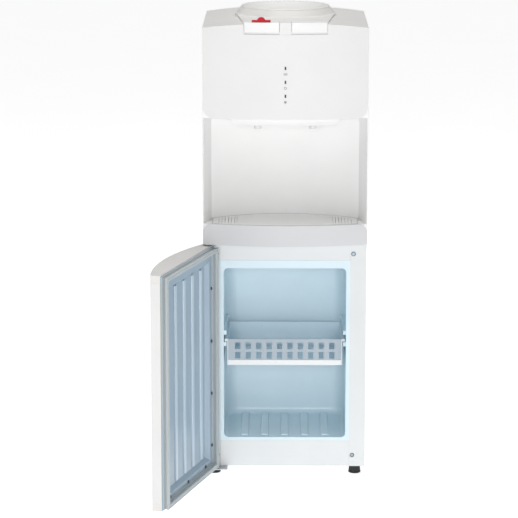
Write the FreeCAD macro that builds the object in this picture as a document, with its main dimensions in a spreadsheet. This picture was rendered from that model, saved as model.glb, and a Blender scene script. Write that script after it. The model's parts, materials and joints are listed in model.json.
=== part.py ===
"""Free-standing water cooler: bottle seat on top, dispensing bay, refrigerated cabinet below.

Frame: +X to the right as seen from the front, the front faces -Y, +Z up, millimetres.
Origin on the floor, midway across the cabinet and midway between its front corners and its back.
The cabinet door is modelled shut, then hung open on its hinge, as it stands at rest.
"""
import FreeCAD, Part
import Sketcher
import math
import os
import re

from FreeCAD import Placement, Rotation, Vector

doc = FreeCAD.newDocument("WaterCooler")

# ---------------------------------------------------------------- driving dimensions
SIZES = (
    ("cabinet_width", "310", "side to side"),
    ("cabinet_depth", "305", "front corners to back"),
    ("front_bow", "25", "how far the middle of the front stands before its corners"),
    ("moulding_depth", "31", "front corners to the door's sealing plane"),
    ("panel_sheet", "1.5", "painted sheet"),
    ("moulding_wall", "2.5", "moulded walls"),
    ("seat_gap", "0.3", "clearance between a loose piece and its seat"),
    ("slide_gap", "0.6", "clearance round a piece that moves"),
    ("running_gap", "0.05", "radial clearance of a pin in its bush"),
    ("foot_height", "19", "floor to the base"),
    ("foot_top_radius", "10.5", ""),
    ("foot_sole_radius", "12", ""),
    ("foot_from_side", "19", "foot centre from the side"),
    ("foot_from_front", "56", "foot centre from the front corners"),
    ("foot_from_back", "40", "foot centre from the back"),
    ("foot_stud_radius", "3", ""),
    ("fridge_height", "441", "base to the top of the refrigerated cabinet"),
    ("pillar_width", "30.5", "front flange of a side panel"),
    ("hinge_gap", "2.7", "between the cabinet top and the drip band"),
    ("band_height", "39.3", "drip band"),
    ("band_corner_radius", "17", "upper corners of the drip band"),
    ("bay_height", "201", "dispensing bay"),
    ("panel_height", "169", "front panel at its corners"),
    ("panel_corner_radius", "21", "lower corners of the front panel"),
    ("lid_crown", "11", "rise of the lid from its sides to its middle"),
    ("platform_rise", "1", "raised platform over the lid's crown"),
    ("platform_depth", "9", "raised platform's walls"),
    ("lid_skirt", "12", "side walls of the lid"),
    ("bay_cheek_width", "15", "how far the bay's cheeks lean inwards"),
    ("bay_cheek_depth", "60", "depth of the bay's cheeks"),
    ("bay_depth", "110", "front corners to the middle of the bay's back wall"),
    ("rail_height", "35", "rail over the cabinet opening"),
    ("kick_height", "51.5", "panel under the cabinet opening"),
    ("liner_rim_side", "7.5", "liner rim beside the opening"),
    ("liner_rim_top", "15", "liner rim over the opening"),
    ("liner_rim_foot", "6", "liner rim under the opening"),
    ("liner_wall", "1.5", ""),
    ("liner_depth", "180", "sealing plane to the liner's back wall"),
    ("liner_mouth_radius", "9", "corners of the opening"),
    ("liner_back_radius", "24", "upright corners at the liner's back"),
    ("floor_rib_width", "12.5", ""),
    ("floor_rib_height", "3", ""),
    ("floor_rib_pitch", "38.7", ""),
    ("floor_rib_count", "5", ""),
    ("ledge_height", "8", "guide ledge"),
    ("ledge_reach", "5", "guide ledge out of the wall"),
    ("ledge_level", "281", "middle of the guide ledge, over the floor"),
    ("ledge_margin", "12", "ledges and ribs short of the liner's ends"),
    ("peg_radius", "3.25", "peg at the back end of a guide ledge"),
    ("foam_wall", "30", "foam behind the liner"),
    ("plate_width", "170", "cabinet evaporator plate"),
    ("plate_height", "180", ""),
    ("plate_thickness", "2", ""),
    ("basket_side_gap", "6.2", "basket beside the opening's wall"),
    ("basket_height", "51", "basket front"),
    ("basket_depth", "150", ""),
    ("basket_wall", "2.2", ""),
    ("basket_base_level", "216.5", "basket underside, over the floor"),
    ("basket_setback", "15", "basket front behind the sealing plane"),
    ("basket_rim_reach", "4.7", "rim that rides on the carrying ledge"),
    ("basket_rim_height", "5", ""),
    ("basket_rim_margin", "11", "rim short of the basket's back"),
    ("basket_slot_width", "10", ""),
    ("basket_slot_height", "13", ""),
    ("basket_slot_pitch", "20.1", ""),
    ("basket_slot_count", "10", ""),
    ("basket_slot_rows", "2", ""),
    ("basket_row_pitch", "18.5", ""),
    ("basket_lip_height", "9.7", "lip across the tray's front"),
    ("basket_front_setback", "0.8", "slotted front behind the lip"),
    ("basket_front_wall", "1.5", ""),
    ("basket_slot_start", "2.8", "lower slots over the lip"),
    ("basket_floor_slot_count", "9", ""),
    ("basket_floor_margin", "17.6", "floor slots short of the basket's ends"),
    ("door_side_gap", "2", "door edge inside the cabinet side"),
    ("door_end_gap", "1.2", "door over the base and under the cabinet top"),
    ("door_edge_depth", "20", "door's side returns"),
    ("door_sheet", "1.2", "door skin"),
    ("door_cap_height", "14", "mouldings at the door's ends"),
    ("door_liner_wall", "2", ""),
    ("door_liner_margin", "2", "door liner inside the door's edge"),
    ("door_dish_depth", "8", "dished middle of the door liner"),
    ("door_dish_slope", "6.5", "how far the dish's walls lean inwards"),
    ("door_dish_side", "10", "dish beside the screws of the hinge side"),
    ("door_dish_latch", "4", "dish beside the gasket on the latch side"),
    ("door_dish_top", "15", "dish under the gasket"),
    ("door_dish_foot", "6", "dish over the foot row of screws"),
    ("door_rib_margin", "2", "ribs short of the dish's floor"),
    ("door_rib_width", "10", ""),
    ("door_rib_height", "2.5", ""),
    ("door_rib_pitch", "47.4", ""),
    ("door_rib_count", "5", ""),
    ("gasket_margin", "2.5", "gasket inside the door's edge"),
    ("gasket_hinge_margin", "12", "the same on the hinge side, where the seal swings past the cabinet"),
    ("gasket_width", "11", ""),
    ("gasket_neck", "6", "narrow waist of the gasket"),
    ("gasket_foot", "4", "height of the gasket's foot"),
    ("gasket_head", "3.4", "height of the magnet strip"),
    ("door_screw_radius", "3.4", "head"),
    ("door_screw_height", "1.8", "head"),
    ("door_screw_gap", "0.4", "screw heads inside the gasket"),
    ("door_screw_start", "33", "lowest screw of the hinge side over the foot row"),
    ("door_screw_pitch", "102.4", "screws up the hinge side"),
    ("door_screw_foot_pitch", "100.8", "screws along the foot"),
    ("door_screw_foot_middle", "12", "middle screw of the foot row from the door's middle"),
    ("hinge_from_side", "13", "hinge axis inside the cabinet side"),
    ("hinge_depth", "13", "hinge axis behind the front corners"),
    ("hinge_pin_radius", "3", ""),
    ("hinge_pin_length", "13", ""),
    ("hinge_plate", "1.5", ""),
    ("hinge_plate_width", "43", ""),
    ("hinge_plate_depth", "12", "behind the sealing plane"),
    ("bush_wall", "1.6", ""),
    ("door_open_angle", "107", "door as it stands"),
    ("pillar_screw_radius", "4.25", "head"),
    ("pillar_screw_from_side", "24.7", ""),
    ("screw_taper", "0.72", "top of a screw's head, as a share of its radius"),
    ("cross_reach", "0.45", "half length of the cross recess, as a share of the head's radius"),
    ("cross_width", "0.09", "half width of the cross recess, as a share of the head's radius"),
    ("pillar_screw_margin", "22", "from the ends of the cabinet front"),
    ("tray_margin", "18", "drip tray inside the cabinet side"),
    ("tray_front_margin", "11", "drip tray behind the bowed front"),
    ("tray_back_margin", "6", "drip tray before the bay's wall"),
    ("tray_depth", "20", "recess for the drip tray"),
    ("tray_wall", "1.8", ""),
    ("grille_thickness", "3", ""),
    ("grille_slot_width", "3", ""),
    ("grille_slot_pitch", "8", ""),
    ("grille_hole_radius", "1.6", ""),
    ("grille_hole_pitch", "8", ""),
    ("grille_field_half", "78", "half width of the slotted middle"),
    ("grille_field_depth", "42", "middle of the slots behind the front corners"),
    ("grille_slot_reach", "26", "half length of the middle slot"),
    ("grille_hole_columns", "5", "on each side of the slots"),
    ("grille_hole_rows", "6", ""),
    ("grille_hole_start", "18", "first row of holes behind the front corners"),
    ("grille_hole_margin", "1.6", "holes beyond the slotted middle"),
    ("cover_half_width", "100", "spout cover"),
    ("cover_height", "13", ""),
    ("cover_setback", "14", "behind the bowed front"),
    ("cover_corner_radius", "8", ""),
    ("tap_spacing", "104", "between the two nozzles"),
    ("tap_depth", "22", "nozzle axis behind the front corners"),
    ("nozzle_radius", "7", ""),
    ("nozzle_bore_radius", "4", ""),
    ("nozzle_drop", "10", "nozzle below the spout cover"),
    ("valve_radius", "13", ""),
    ("valve_height", "42", ""),
    ("port_level", "28", "hose port over the valve's foot"),
    ("port_reach", "14", "hose port behind the valve"),
    ("rod_radius", "3.5", "push rod between key and valve"),
    ("rod_socket", "16", "depth of the valve's bore"),
    ("rod_travel", "5", "room under the push rod"),
    ("key_left", "76.5", "outer end of the hot key"),
    ("key_right", "77.6", "outer end of the cold key"),
    ("key_inner", "11.7", "inner ends of both keys"),
    ("key_height", "18", "front face of a key"),
    ("key_head_depth", "24.4", "top face of a key"),
    ("key_wall", "1.6", ""),
    ("key_skirt", "5", "front wall that hangs below the rest of a key"),
    ("key_arm_width", "20", ""),
    ("key_arm_height", "6", ""),
    ("key_recess", "4.4", "recess under the keys that they sink into"),
    ("recess_wall", "2", ""),
    ("key_shaft_radius", "2", ""),
    ("key_shaft_depth", "46", "shaft behind the front corners"),
    ("key_shaft_drop", "11", "shaft below the keys' top"),
    ("shaft_lug_width", "6", "lugs of the lid that hold the shaft"),
    ("shaft_lug_spacing", "70", "outer lugs from the middle"),
    ("key_hub_wall", "2", ""),
    ("lock_width", "35", "child lock"),
    ("lock_height", "3.6", ""),
    ("lock_bump_radius", "8", ""),
    ("lock_depth", "9", ""),
    ("lock_from_centre", "45", ""),
    ("lock_setback", "4", "child lock behind the bowed front"),
    ("seat_depth", "165", "bottle axis behind the front corners"),
    ("boss_radius", "97", "raised platform of the lid"),
    ("apron_margin", "2", "platform wider than the keys"),
    ("apron_share", "0.98", "the platform's apron at its back, as a share of the disc's radius"),
    ("boss_top_radius", "86", "top of the lid's cone"),
    ("boss_cone_radius", "94", "foot of the lid's cone"),
    ("boss_cone_height", "11", ""),
    ("seat_radius", "85", "bottle seat"),
    ("seat_rim_height", "3.6", "bottle seat over the lid's cone"),
    ("seat_dish_radius", "58", "floor of the dish"),
    ("seat_dish_depth", "11", ""),
    ("seat_wall", "2.5", ""),
    ("seat_bore_radius", "29", "throat that takes the bottle's neck"),
    ("seat_throat_depth", "32", ""),
    ("probe_radius", "9", "spike in the throat"),
    ("probe_bore_radius", "5", ""),
    ("probe_foot_margin", "2", "probe's foot inside the throat"),
    ("probe_foot_height", "3", ""),
    ("probe_tip", "14", "length of the pointed end"),
    ("lamp_width", "3", ""),
    ("lamp_height", "6", ""),
    ("lamp_pitch", "26", ""),
    ("lamp_drop", "98.5", "middle lamp below the front panel's top corners"),
    ("board_width", "34", ""),
    ("board_height", "74", ""),
    ("board_thickness", "1.6", ""),
    ("back_recess", "14", "rear panel inside the side panels"),
    ("cold_tank_radius", "62", ""),
    ("cold_tank_height", "112", ""),
    ("tank_wall", "1.2", ""),
    ("cold_foam_wall", "16", ""),
    ("cold_tank_over_panel", "24", "cold tank over the front panel's lower edge"),
    ("coil_start", "36", "lowest turn over the tank's floor"),
    ("coil_turns", "6", ""),
    ("coil_room", "7", "space for the coil"),
    ("riser_from_centre", "38.5", "suction pipe"),
    ("riser_depth", "92", "suction pipe behind the bottle axis"),
    ("suction_end", "60", "suction pipe's end behind the bottle axis"),
    ("coil_pitch", "12", ""),
    ("hot_tank_radius", "45", ""),
    ("hot_tank_height", "150", ""),
    ("hot_tank_from_side", "67", "hot tank axis inside the cabinet side"),
    ("hot_tank_from_rear", "59", "hot tank axis before the rear panel"),
    ("hot_tank_stand", "28", "hot tank over the deck"),
    ("heater_height", "36", ""),
    ("heater_wall", "3", ""),
    ("thermostat_radius", "8", ""),
    ("thermostat_depth", "7", ""),
    ("hose_radius", "4.5", ""),
    ("hose_bend", "16", ""),
    ("hose_lead", "35", "straight run behind the valve"),
    ("feed_from_centre", "30", "hose from the cold tank's floor"),
    ("pipe_radius", "3", ""),
    ("pipe_bend", "14", ""),
    ("compressor_from_centre", "58", ""),
    ("compressor_from_rear", "69", "compressor axis before the rear panel"),
    ("compressor_radius", "58", ""),
    ("compressor_round", "28", ""),
    ("compressor_height", "132", ""),
    ("compressor_plate", "3", ""),
    ("discharge_from_middle", "16", "discharge pipe on the compressor"),
    ("discharge_level", "640", "over the floor"),
    ("mount_height", "14", "rubber mounts"),
    ("mount_radius", "9", ""),
    ("deck_thickness", "1.5", ""),
    ("condenser_half_width", "118", ""),
    ("condenser_base", "90", "over the floor"),
    ("condenser_runs", "11", ""),
    ("condenser_pitch", "32", ""),
    ("condenser_tube_radius", "2.4", ""),
    ("condenser_wire_radius", "0.8", ""),
    ("condenser_wire_count", "22", ""),
    ("condenser_wire_half", "98", "outermost wires from the middle"),
    ("condenser_strap", "14", ""),
    ("condenser_overhang", "8", "wires beyond the tube"),
    ("drier_radius", "6", ""),
    ("drier_height", "70", ""),
    ("drier_level", "115", "over the floor"),
    ("drier_from_centre", "132", ""),
    ("capillary_radius", "1.5", ""),
    ("capillary_level", "215", "over the floor"),
    ("rocker_width", "14", ""),
    ("rocker_height", "21", ""),
    ("rocker_drop", "13", "rockers below the front panel's lower edge"),
    ("rocker_spacing", "34", ""),
    ("rocker_hollow_radius", "24", ""),
    ("rocker_hollow", "2", "depth of the hollow"),
    ("rocker_proud", "5", "rocker out of the rear panel"),
    ("rocker_frame_wall", "3", ""),
    ("inlet_width", "28", ""),
    ("inlet_height", "22", ""),
    ("inlet_level", "500", "over the floor"),
    ("inlet_wall", "3", ""),
    ("inlet_depth", "14", ""),
    ("inlet_blade_spacing", "7", ""),
    ("inlet_blade_width", "2", ""),
    ("inlet_blade_height", "5", ""),
    ("drain_radius", "8", ""),
    ("drain_wall", "2.5", ""),
    ("drain_cap_wall", "3", ""),
    ("drain_reach", "8", "drain spout out of the rear panel"),
    ("drain_grips", "8", ""),
    ("drain_grip_radius", "1.2", ""),
    ("drain_drop", "14", "drain below the hot tank's floor"),
)

sheet = doc.addObject("Spreadsheet::Sheet", "Sizes")
for row, (alias, number, note) in enumerate(SIZES, 1):
    sheet.set(f"A{row}", alias)
    sheet.set(f"B{row}", number)
    sheet.setAlias(f"B{row}", alias)
    sheet.set(f"C{row}", note)
doc.recompute()

ALIASES = {alias for alias, _, _ in SIZES}
WORD = re.compile(r"[a-z][a-z0-9_]*")


def size(alias):
    """The number in the sheet's cell."""
    return float(sheet.get(alias))


def bind(obj, prop, formula):
    """Bind a property to a formula whose words are the sheet's aliases."""
    text = WORD.sub(lambda m: f"Sizes.{m.group()}" if m.group() in ALIASES else m.group(), str(formula))
    obj.setExpression(prop, text)


def place(obj, x="0", y="0", z="0"):
    bind(obj, "Placement.Base.x", x)
    bind(obj, "Placement.Base.y", y)
    bind(obj, "Placement.Base.z", z)
    return obj


# ---------------------------------------------------------------- shared planes, as formulas
HALF = "(cabinet_width / 2)"
FRONT = "(0 - cabinet_depth / 2)"
BACK = "(cabinet_depth / 2)"
SEAL = f"({FRONT} + moulding_depth)"
INNER = f"({HALF} - panel_sheet)"
FRIDGE_TOP = "(foot_height + fridge_height)"
BAND_LOW = f"({FRIDGE_TOP} + hinge_gap)"
BAND_TOP = f"({BAND_LOW} + band_height)"
PANEL_LOW = f"({BAND_TOP} + bay_height)"
PANEL_TOP = f"({PANEL_LOW} + panel_height)"
CROWN_TOP = f"({PANEL_TOP} + lid_crown)"
PLATFORM_TOP = f"({CROWN_TOP} + platform_rise)"
LID_LOW = f"({PANEL_TOP} - lid_skirt)"
BOW_RADIUS = "((cabinet_width * cabinet_width / 4 + front_bow * front_bow) / (2 * front_bow))"
CROWN_RADIUS = "((cabinet_width * cabinet_width / 4 + lid_crown * lid_crown) / (2 * lid_crown))"
SEAT_Y = f"({FRONT} + seat_depth)"
NOSE = f"({FRONT} - front_bow)"


def both(half):
    return f"(0 - ({half}))", half


# ---------------------------------------------------------------- plain solids
def block(name, x, y, z):
    """A box between (low, high) pairs of formulas."""
    obj = doc.addObject("Part::Box", name)
    for prop, (low, high) in zip(("Length", "Width", "Height"), (x, y, z)):
        bind(obj, prop, f"({high}) - ({low})")
    return place(obj, x[0], y[0], z[0])


TURNS = {
    "x": Rotation(Vector(0, 1, 0), 90),
    "y": Rotation(Vector(1, 0, 0), -90),
    "z": Rotation(),
}


def along(obj, axis, span, at):
    """Stand a solid of revolution on an axis, from span's low end, at the other two coordinates."""
    bind(obj, "Height", f"({span[1]}) - ({span[0]})")
    obj.Placement = Placement(Vector(), TURNS[axis])
    spots = {"x": (span[0], *at), "y": (at[0], span[0], at[1]), "z": (*at, span[0])}
    return place(obj, *spots[axis])


def rod(name, axis, radius, span, at):
    obj = doc.addObject("Part::Cylinder", name)
    bind(obj, "Radius", radius)
    return along(obj, axis, span, at)


def cone(name, axis, low_radius, high_radius, span, at):
    obj = doc.addObject("Part::Cone", name)
    bind(obj, "Radius1", low_radius)
    bind(obj, "Radius2", high_radius)
    return along(obj, axis, span, at)


def fuse(name, *parts):
    obj = doc.addObject("Part::MultiFuse", name)
    obj.Shapes = list(parts)
    obj.Refine = True
    return obj


def common(name, *parts):
    obj = doc.addObject("Part::MultiCommon", name)
    obj.Shapes = list(parts)
    return obj


def group(name, *parts):
    obj = doc.addObject("Part::Compound", name)
    obj.Links = list(parts)
    return obj


def cut(name, base, *tools):
    obj = doc.addObject("Part::Cut", name)
    obj.Base = base
    obj.Tool = tools[0] if len(tools) == 1 else group(name + "_tools", *tools)
    obj.Refine = True
    return obj


def tube(name, axis, radius, bore, span, at):
    outer = rod(name + "_outer", axis, radius, span, at)
    inner = rod(name + "_bore", axis, bore, span, at)
    return cut(name, outer, inner)


# ---------------------------------------------------------------- rounded edges
X_WAY, Y_WAY, Z_WAY = Vector(1, 0, 0), Vector(0, 1, 0), Vector(0, 0, 1)
LOW, HIGH, NEAR, FAR, ALL = -Z_WAY, Z_WAY, -Y_WAY, Y_WAY, Vector()


def edges(shape, way, side):
    """Names of the straight edges parallel to a way on one side of a shape's middle."""
    found = []
    for number, edge in enumerate(shape.Edges, 1):
        if edge.Curve.TypeId != "Part::GeomLine":
            continue
        first, last = (vertex.Point for vertex in edge.Vertexes)
        middle = (first + last) * 0.5 - shape.BoundBox.Center
        if abs((last - first).normalize().dot(way)) > 0.999 and middle.dot(side) >= 0:
            found.append(f"Edge{number}")
    return found


def soften(body, last, count, picked, radius):
    """Round the named edges of a body's last feature."""
    fillet = body.newObject("PartDesign::Fillet", f"{body.Name}_round{count}")
    fillet.Base = (last, picked)
    bind(fillet, "Radius", radius)
    doc.recompute()
    return fillet


def soft_block(name, x, y, z, *rounds):
    """A body made of one box; each round is (radius, the edges' way, their side of the middle)."""
    body = doc.addObject("PartDesign::Body", name)
    last = body.newObject("PartDesign::AdditiveBox", name + "_box")
    for prop, (low, high) in zip(("Length", "Width", "Height"), (x, y, z)):
        bind(last, prop, f"({high}) - ({low})")
    place(last, x[0], y[0], z[0])
    doc.recompute()
    for count, (radius, way, side) in enumerate(rounds):
        last = soften(body, last, count, edges(last.Shape, way, side), radius)
    return body


def soft_can(name, radius, rounding, z, at):
    """A body made of one upright cylinder with both its rims rounded."""
    body = doc.addObject("PartDesign::Body", name)
    can = body.newObject("PartDesign::AdditiveCylinder", name + "_can")
    bind(can, "Radius", radius)
    bind(can, "Height", f"({z[1]}) - ({z[0]})")
    place(can, *at, z[0])
    doc.recompute()
    rims = [f"Edge{number}" for number, edge in enumerate(can.Shape.Edges, 1) if edge.Curve.TypeId == "Part::GeomCircle"]
    soften(body, can, 0, rims, rounding)
    return body


# ---------------------------------------------------------------- turned solids
def turned(name, outline, x="0", y="0", z="0"):
    """A body revolved about its own upright axis; the outline lists (radius, height) formulas."""
    body = doc.addObject("PartDesign::Body", name)
    plane = next(o for o in body.Origin.OriginFeatures if o.Role == "XZ_Plane")
    sketch = body.newObject("Sketcher::SketchObject", name + "_profile")
    sketch.AttachmentSupport = [(plane, "")]
    sketch.MapMode = "FlatFace"
    count = len(outline)
    spots = [Vector(30 + 20 * math.cos(2 * math.pi * i / count), 20 * math.sin(2 * math.pi * i / count), 0)
             for i in range(count)]
    for i in range(count):
        sketch.addGeometry(Part.LineSegment(spots[i], spots[(i + 1) % count]), False)
    for i in range(count):
        sketch.addConstraint(Sketcher.Constraint("Coincident", i, 2, (i + 1) % count, 1))
    for i, (radius, height) in enumerate(outline):
        for way, formula, here in (("DistanceX", radius, spots[i].x), ("DistanceY", height, spots[i].y)):
            number = sketch.addConstraint(Sketcher.Constraint(way, -1, 1, i, 1, here))
            bind(sketch, f"Constraints[{number}]", formula)
    turn = body.newObject("PartDesign::Revolution", name + "_turn")
    turn.Profile = sketch
    turn.ReferenceAxis = (sketch, ["V_Axis"])
    turn.Angle = 360
    return place(body, x, y, z)


# ---------------------------------------------------------------- bent pipes
def pipe(name, points, radius, bend):
    """A round pipe through points, with a tangent arc of the bend radius at each turn."""
    obj = doc.addObject("Part::Feature", name)
    spots = [Vector(*point) for point in points]
    edges_made = []
    start = spots[0]
    for before, corner, after in zip(spots, spots[1:], spots[2:]):
        way_in = (corner - before).normalize()
        way_out = (after - corner).normalize()
        half_turn = way_in.getAngle(way_out) / 2
        leg = bend * math.tan(half_turn)
        enter = corner - way_in * leg
        leave = corner + way_out * leg
        inward = (way_out - way_in).normalize()
        centre = corner + inward * (bend / math.cos(half_turn))
        middle = centre - inward * bend
        edges_made.append(Part.LineSegment(start, enter).toShape())
        edges_made.append(Part.Arc(enter, middle, leave).toShape())
        start = leave
    edges_made.append(Part.LineSegment(start, spots[-1]).toShape())
    path = Part.Wire(edges_made)
    section = Part.Wire(Part.makeCircle(radius, spots[0], spots[1] - spots[0]))
    obj.Shape = path.makePipeShell([section], True, True)
    obj.Placement = Placement()
    return obj


# ---------------------------------------------------------------- bowed mouldings
def bowed(name, inset, half, back, z):
    """The plan between the bowed front, moved in by inset, and a back plane."""
    ahead = block(name + "_plan", both(half), (NOSE, back), z)
    arc = rod(name + "_bow", "z", f"{BOW_RADIUS} - ({inset})", z, ("0", f"{NOSE} + {BOW_RADIUS}"))
    return common(name, ahead, arc)


def crowned(name, drop, x, y, low):
    """A slab whose top is the lid's crown, lowered by drop."""
    slab = block(name + "_slab", x, y, (low, f"{CROWN_TOP} + 1"))
    barrel = rod(name + "_barrel", "y", f"{CROWN_RADIUS} - ({drop})", (f"{y[0]} - 1", f"{y[1]} + 1"),
                 ("0", f"{CROWN_TOP} - {CROWN_RADIUS}"))
    return common(name, slab, barrel)


def wedge(name, near, far, y, z, far_z=None):
    """A block whose width, and height if far_z is given, run from the near pair to the far pair along Y."""
    obj = doc.addObject("Part::Wedge", name)
    for prop, formula in zip(("Xmin", "Xmax", "X2min", "X2max"), (*near, *far)):
        bind(obj, prop, formula)
    bind(obj, "Ymin", "0")
    bind(obj, "Ymax", f"({y[1]}) - ({y[0]})")
    for prop, formula in zip(("Zmin", "Zmax", "Z2min", "Z2max"), (*z, *(far_z or z))):
        bind(obj, prop, f"({formula}) - ({z[0]})")
    return place(obj, "0", y[0], z[0])


NODES = []


def node(obj, label=None):
    obj.Label = label or obj.Name
    NODES.append(obj)
    return obj


def hang(obj):
    """Turn a piece of the shut door about the hinge axis to the open rest pose."""
    hinge_x = f"(hinge_from_side - {HALF})"
    hinge_y = f"({FRONT} + hinge_depth)"
    obj.Placement = Placement(Vector(), Rotation(Vector(0, 0, -1), 0))
    bind(obj, "Placement.Rotation.Angle", "door_open_angle")
    open_cos, open_sin = "cos(door_open_angle)", "sin(door_open_angle)"
    bind(obj, "Placement.Base.x", f"{hinge_x} - ({hinge_x} * {open_cos} + {hinge_y} * {open_sin})")
    bind(obj, "Placement.Base.y", f"{hinge_y} - ({hinge_y} * {open_cos} - {hinge_x} * {open_sin})")
    return obj


# ---------------------------------------------------------------- cabinet shell
def pillar_spots(hand):
    """Where the screws sit in a side panel's front flange."""
    x = f"{hand} * ({HALF} - pillar_screw_from_side)"
    return [(x, z) for z in ("foot_height + pillar_screw_margin", f"{FRIDGE_TOP} - pillar_screw_margin")]


def side_panel(name, hand):
    """A painted sheet with a flange that closes the front beside the cabinet opening."""
    outer = f"({hand} * {HALF})"
    inner = f"({hand} * {INNER})"
    flange = f"({hand} * ({HALF} - pillar_width))"
    low, high = (outer, inner) if hand < 0 else (inner, outer)
    wall = block(name + "_wall", (low, high), (SEAL, BACK), ("foot_height", LID_LOW))
    reach = (outer, flange) if hand < 0 else (flange, outer)
    lip = block(name + "_lip", reach, (SEAL, f"{SEAL} + panel_sheet"), ("foot_height", FRIDGE_TOP))
    holes = [rod(f"{name}_hole{i}", "y", "pillar_screw_radius + seat_gap", (f"{SEAL} - 1", f"{SEAL} + 2 * panel_sheet"), at)
             for i, at in enumerate(pillar_spots(hand))]
    return node(cut(name, fuse(name + "_bent", wall, lip), *holes))


OPENING_HALF = f"({HALF} - pillar_width - liner_rim_side)"
RIM_HALF = f"({HALF} - pillar_width)"
RIM_TOP = f"({FRIDGE_TOP} - rail_height)"
RIM_FOOT = "(foot_height + kick_height)"
MOUTH_TOP = f"({RIM_TOP} - liner_rim_top)"
MOUTH_FOOT = f"({RIM_FOOT} + liner_rim_foot)"
SHEET_Y = (SEAL, f"{SEAL} + panel_sheet")
BASE_TOP = "(foot_height + panel_sheet)"
REAR = f"({BACK} - back_recess)"
REAR_Y = (f"{REAR} - panel_sheet", REAR)

side_panel("left_side_panel", -1)
side_panel("right_side_panel", 1)
node(block("cabinet_top_rail", both(RIM_HALF), SHEET_Y, (RIM_TOP, FRIDGE_TOP)))
node(block("lower_front_panel", both(RIM_HALF), SHEET_Y, ("foot_height", RIM_FOOT)))
node(block("base_plate", both(INNER), (SHEET_Y[1], REAR_Y[0]), ("foot_height", BASE_TOP)))
DECK_TOP = f"({FRIDGE_TOP} + deck_thickness)"
HINGE_X = (f"({HALF} - door_side_gap) * -1", f"({HALF} - door_side_gap) * -1 + hinge_plate_width")
HINGE_Y = (f"{FRONT} + hinge_depth - hinge_pin_radius * 2", f"{SEAL} + hinge_plate_depth")


def tank_deck():
    """A sheet over the cabinet's foam, notched for the upper hinge plate."""
    full = block("deck_full", both(INNER), (SHEET_Y[1], REAR_Y[0]), (FRIDGE_TOP, DECK_TOP))
    notch = block("deck_notch", HINGE_X, HINGE_Y, (f"{FRIDGE_TOP} - 1", f"{DECK_TOP} + 1"))
    return node(cut("tank_deck", full, notch))


tank_deck()


# ---------------------------------------------------------------- feet and screws
def feet():
    spots = [(sx, y) for sx in (-1, 1) for y in (f"{FRONT} + foot_from_front", f"{BACK} - foot_from_back")]
    outline = (
        ("0", "0"),
        ("foot_sole_radius - 1", "0"),
        ("foot_sole_radius", "1"),
        ("foot_top_radius", "foot_height"),
        ("0", "foot_height"),
    )
    made = [turned(f"foot{i}", outline, f"{sx} * ({HALF} - foot_from_side)", y)
            for i, (sx, y) in enumerate(spots)]
    return node(group("feet", *made))


def screw(name, head_radius, head_height, at, face, way):
    """A pan head with a cross recess, on an upright face; way is the head's side along Y."""
    tip = f"({face}) + {way} * ({head_height})"
    span = (face, tip) if way > 0 else (tip, face)
    radii = (head_radius, f"({head_radius}) * screw_taper")
    head = cone(name + "_head", "y", *(radii if way > 0 else radii[::-1]), span, at)
    deep = (f"{tip} - ({head_height}) / 2", f"{tip} + ({head_height}) / 2")
    arms = []
    for half_x, half_z in (("cross_reach", "cross_width"), ("cross_width", "cross_reach")):
        arms.append(block(
            f"{name}_arm{len(arms)}", (f"{at[0]} - ({head_radius}) * {half_x}", f"{at[0]} + ({head_radius}) * {half_x}"),
            deep, (f"{at[1]} - ({head_radius}) * {half_z}", f"{at[1]} + ({head_radius}) * {half_z}")))
    return cut(name, head, *arms)


feet()


# ---------------------------------------------------------------- cabinet liner, foam and basket
def liner():
    mouth = (SEAL, f"{SEAL} + liner_depth")
    back_edges = ("liner_back_radius", Z_WAY, FAR)
    long_edges = ("liner_mouth_radius", Y_WAY, ALL)
    shell = soft_block(
        "liner_shell", both(f"{OPENING_HALF} + liner_wall"), (SEAL, f"{SEAL} + liner_depth + liner_wall"),
        (f"{MOUTH_FOOT} - liner_wall", f"{MOUTH_TOP} + liner_wall"), back_edges, long_edges)
    room = soft_block(
        "liner_room", both(OPENING_HALF), (f"{SEAL} - liner_wall", mouth[1]),
        (MOUTH_FOOT, MOUTH_TOP), back_edges, long_edges)
    rim = block("liner_rim", both(RIM_HALF), SHEET_Y, (RIM_FOOT, RIM_TOP))
    tub = cut("liner_tub", fuse("liner_full", shell, rim), room)
    inside = [tub]
    run = (f"{SEAL} + ledge_margin", f"{mouth[1]} - liner_back_radius")
    for hand in (-1, 1):
        for kind, middle in (("guide", "ledge_level"), ("carry", CARRY_LEVEL)):
            ends = (f"{hand} * ({OPENING_HALF} - ledge_reach)", f"{hand} * ({OPENING_HALF} + liner_wall / 2)")
            ledge = block(f"{kind}_ledge{hand + 1}", ends if hand > 0 else ends[::-1], run,
                          (f"{middle} - ledge_height / 2", f"{middle} + ledge_height / 2"))
            inside.append(ledge)
        peg_ends = (f"{hand} * ({OPENING_HALF} - ledge_reach * 1.6)", f"{hand} * ({OPENING_HALF} + liner_wall / 2)")
        inside.append(rod(f"peg{hand + 1}", "x", "peg_radius", peg_ends if hand > 0 else peg_ends[::-1],
                          (f"{run[1]} - 2 * peg_radius", "ledge_level")))
    count = int(size("floor_rib_count"))
    for i in range(count):
        x = f"({i} - {(count - 1) / 2}) * floor_rib_pitch"
        inside.append(block(f"floor_rib{i}", (f"{x} - floor_rib_width / 2", f"{x} + floor_rib_width / 2"),
                            (run[0], f"{mouth[1]} - ledge_margin"), (f"{MOUTH_FOOT} - liner_wall / 2", f"{MOUTH_FOOT} + floor_rib_height")))
    return node(fuse("cabinet_liner", *inside))


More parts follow.
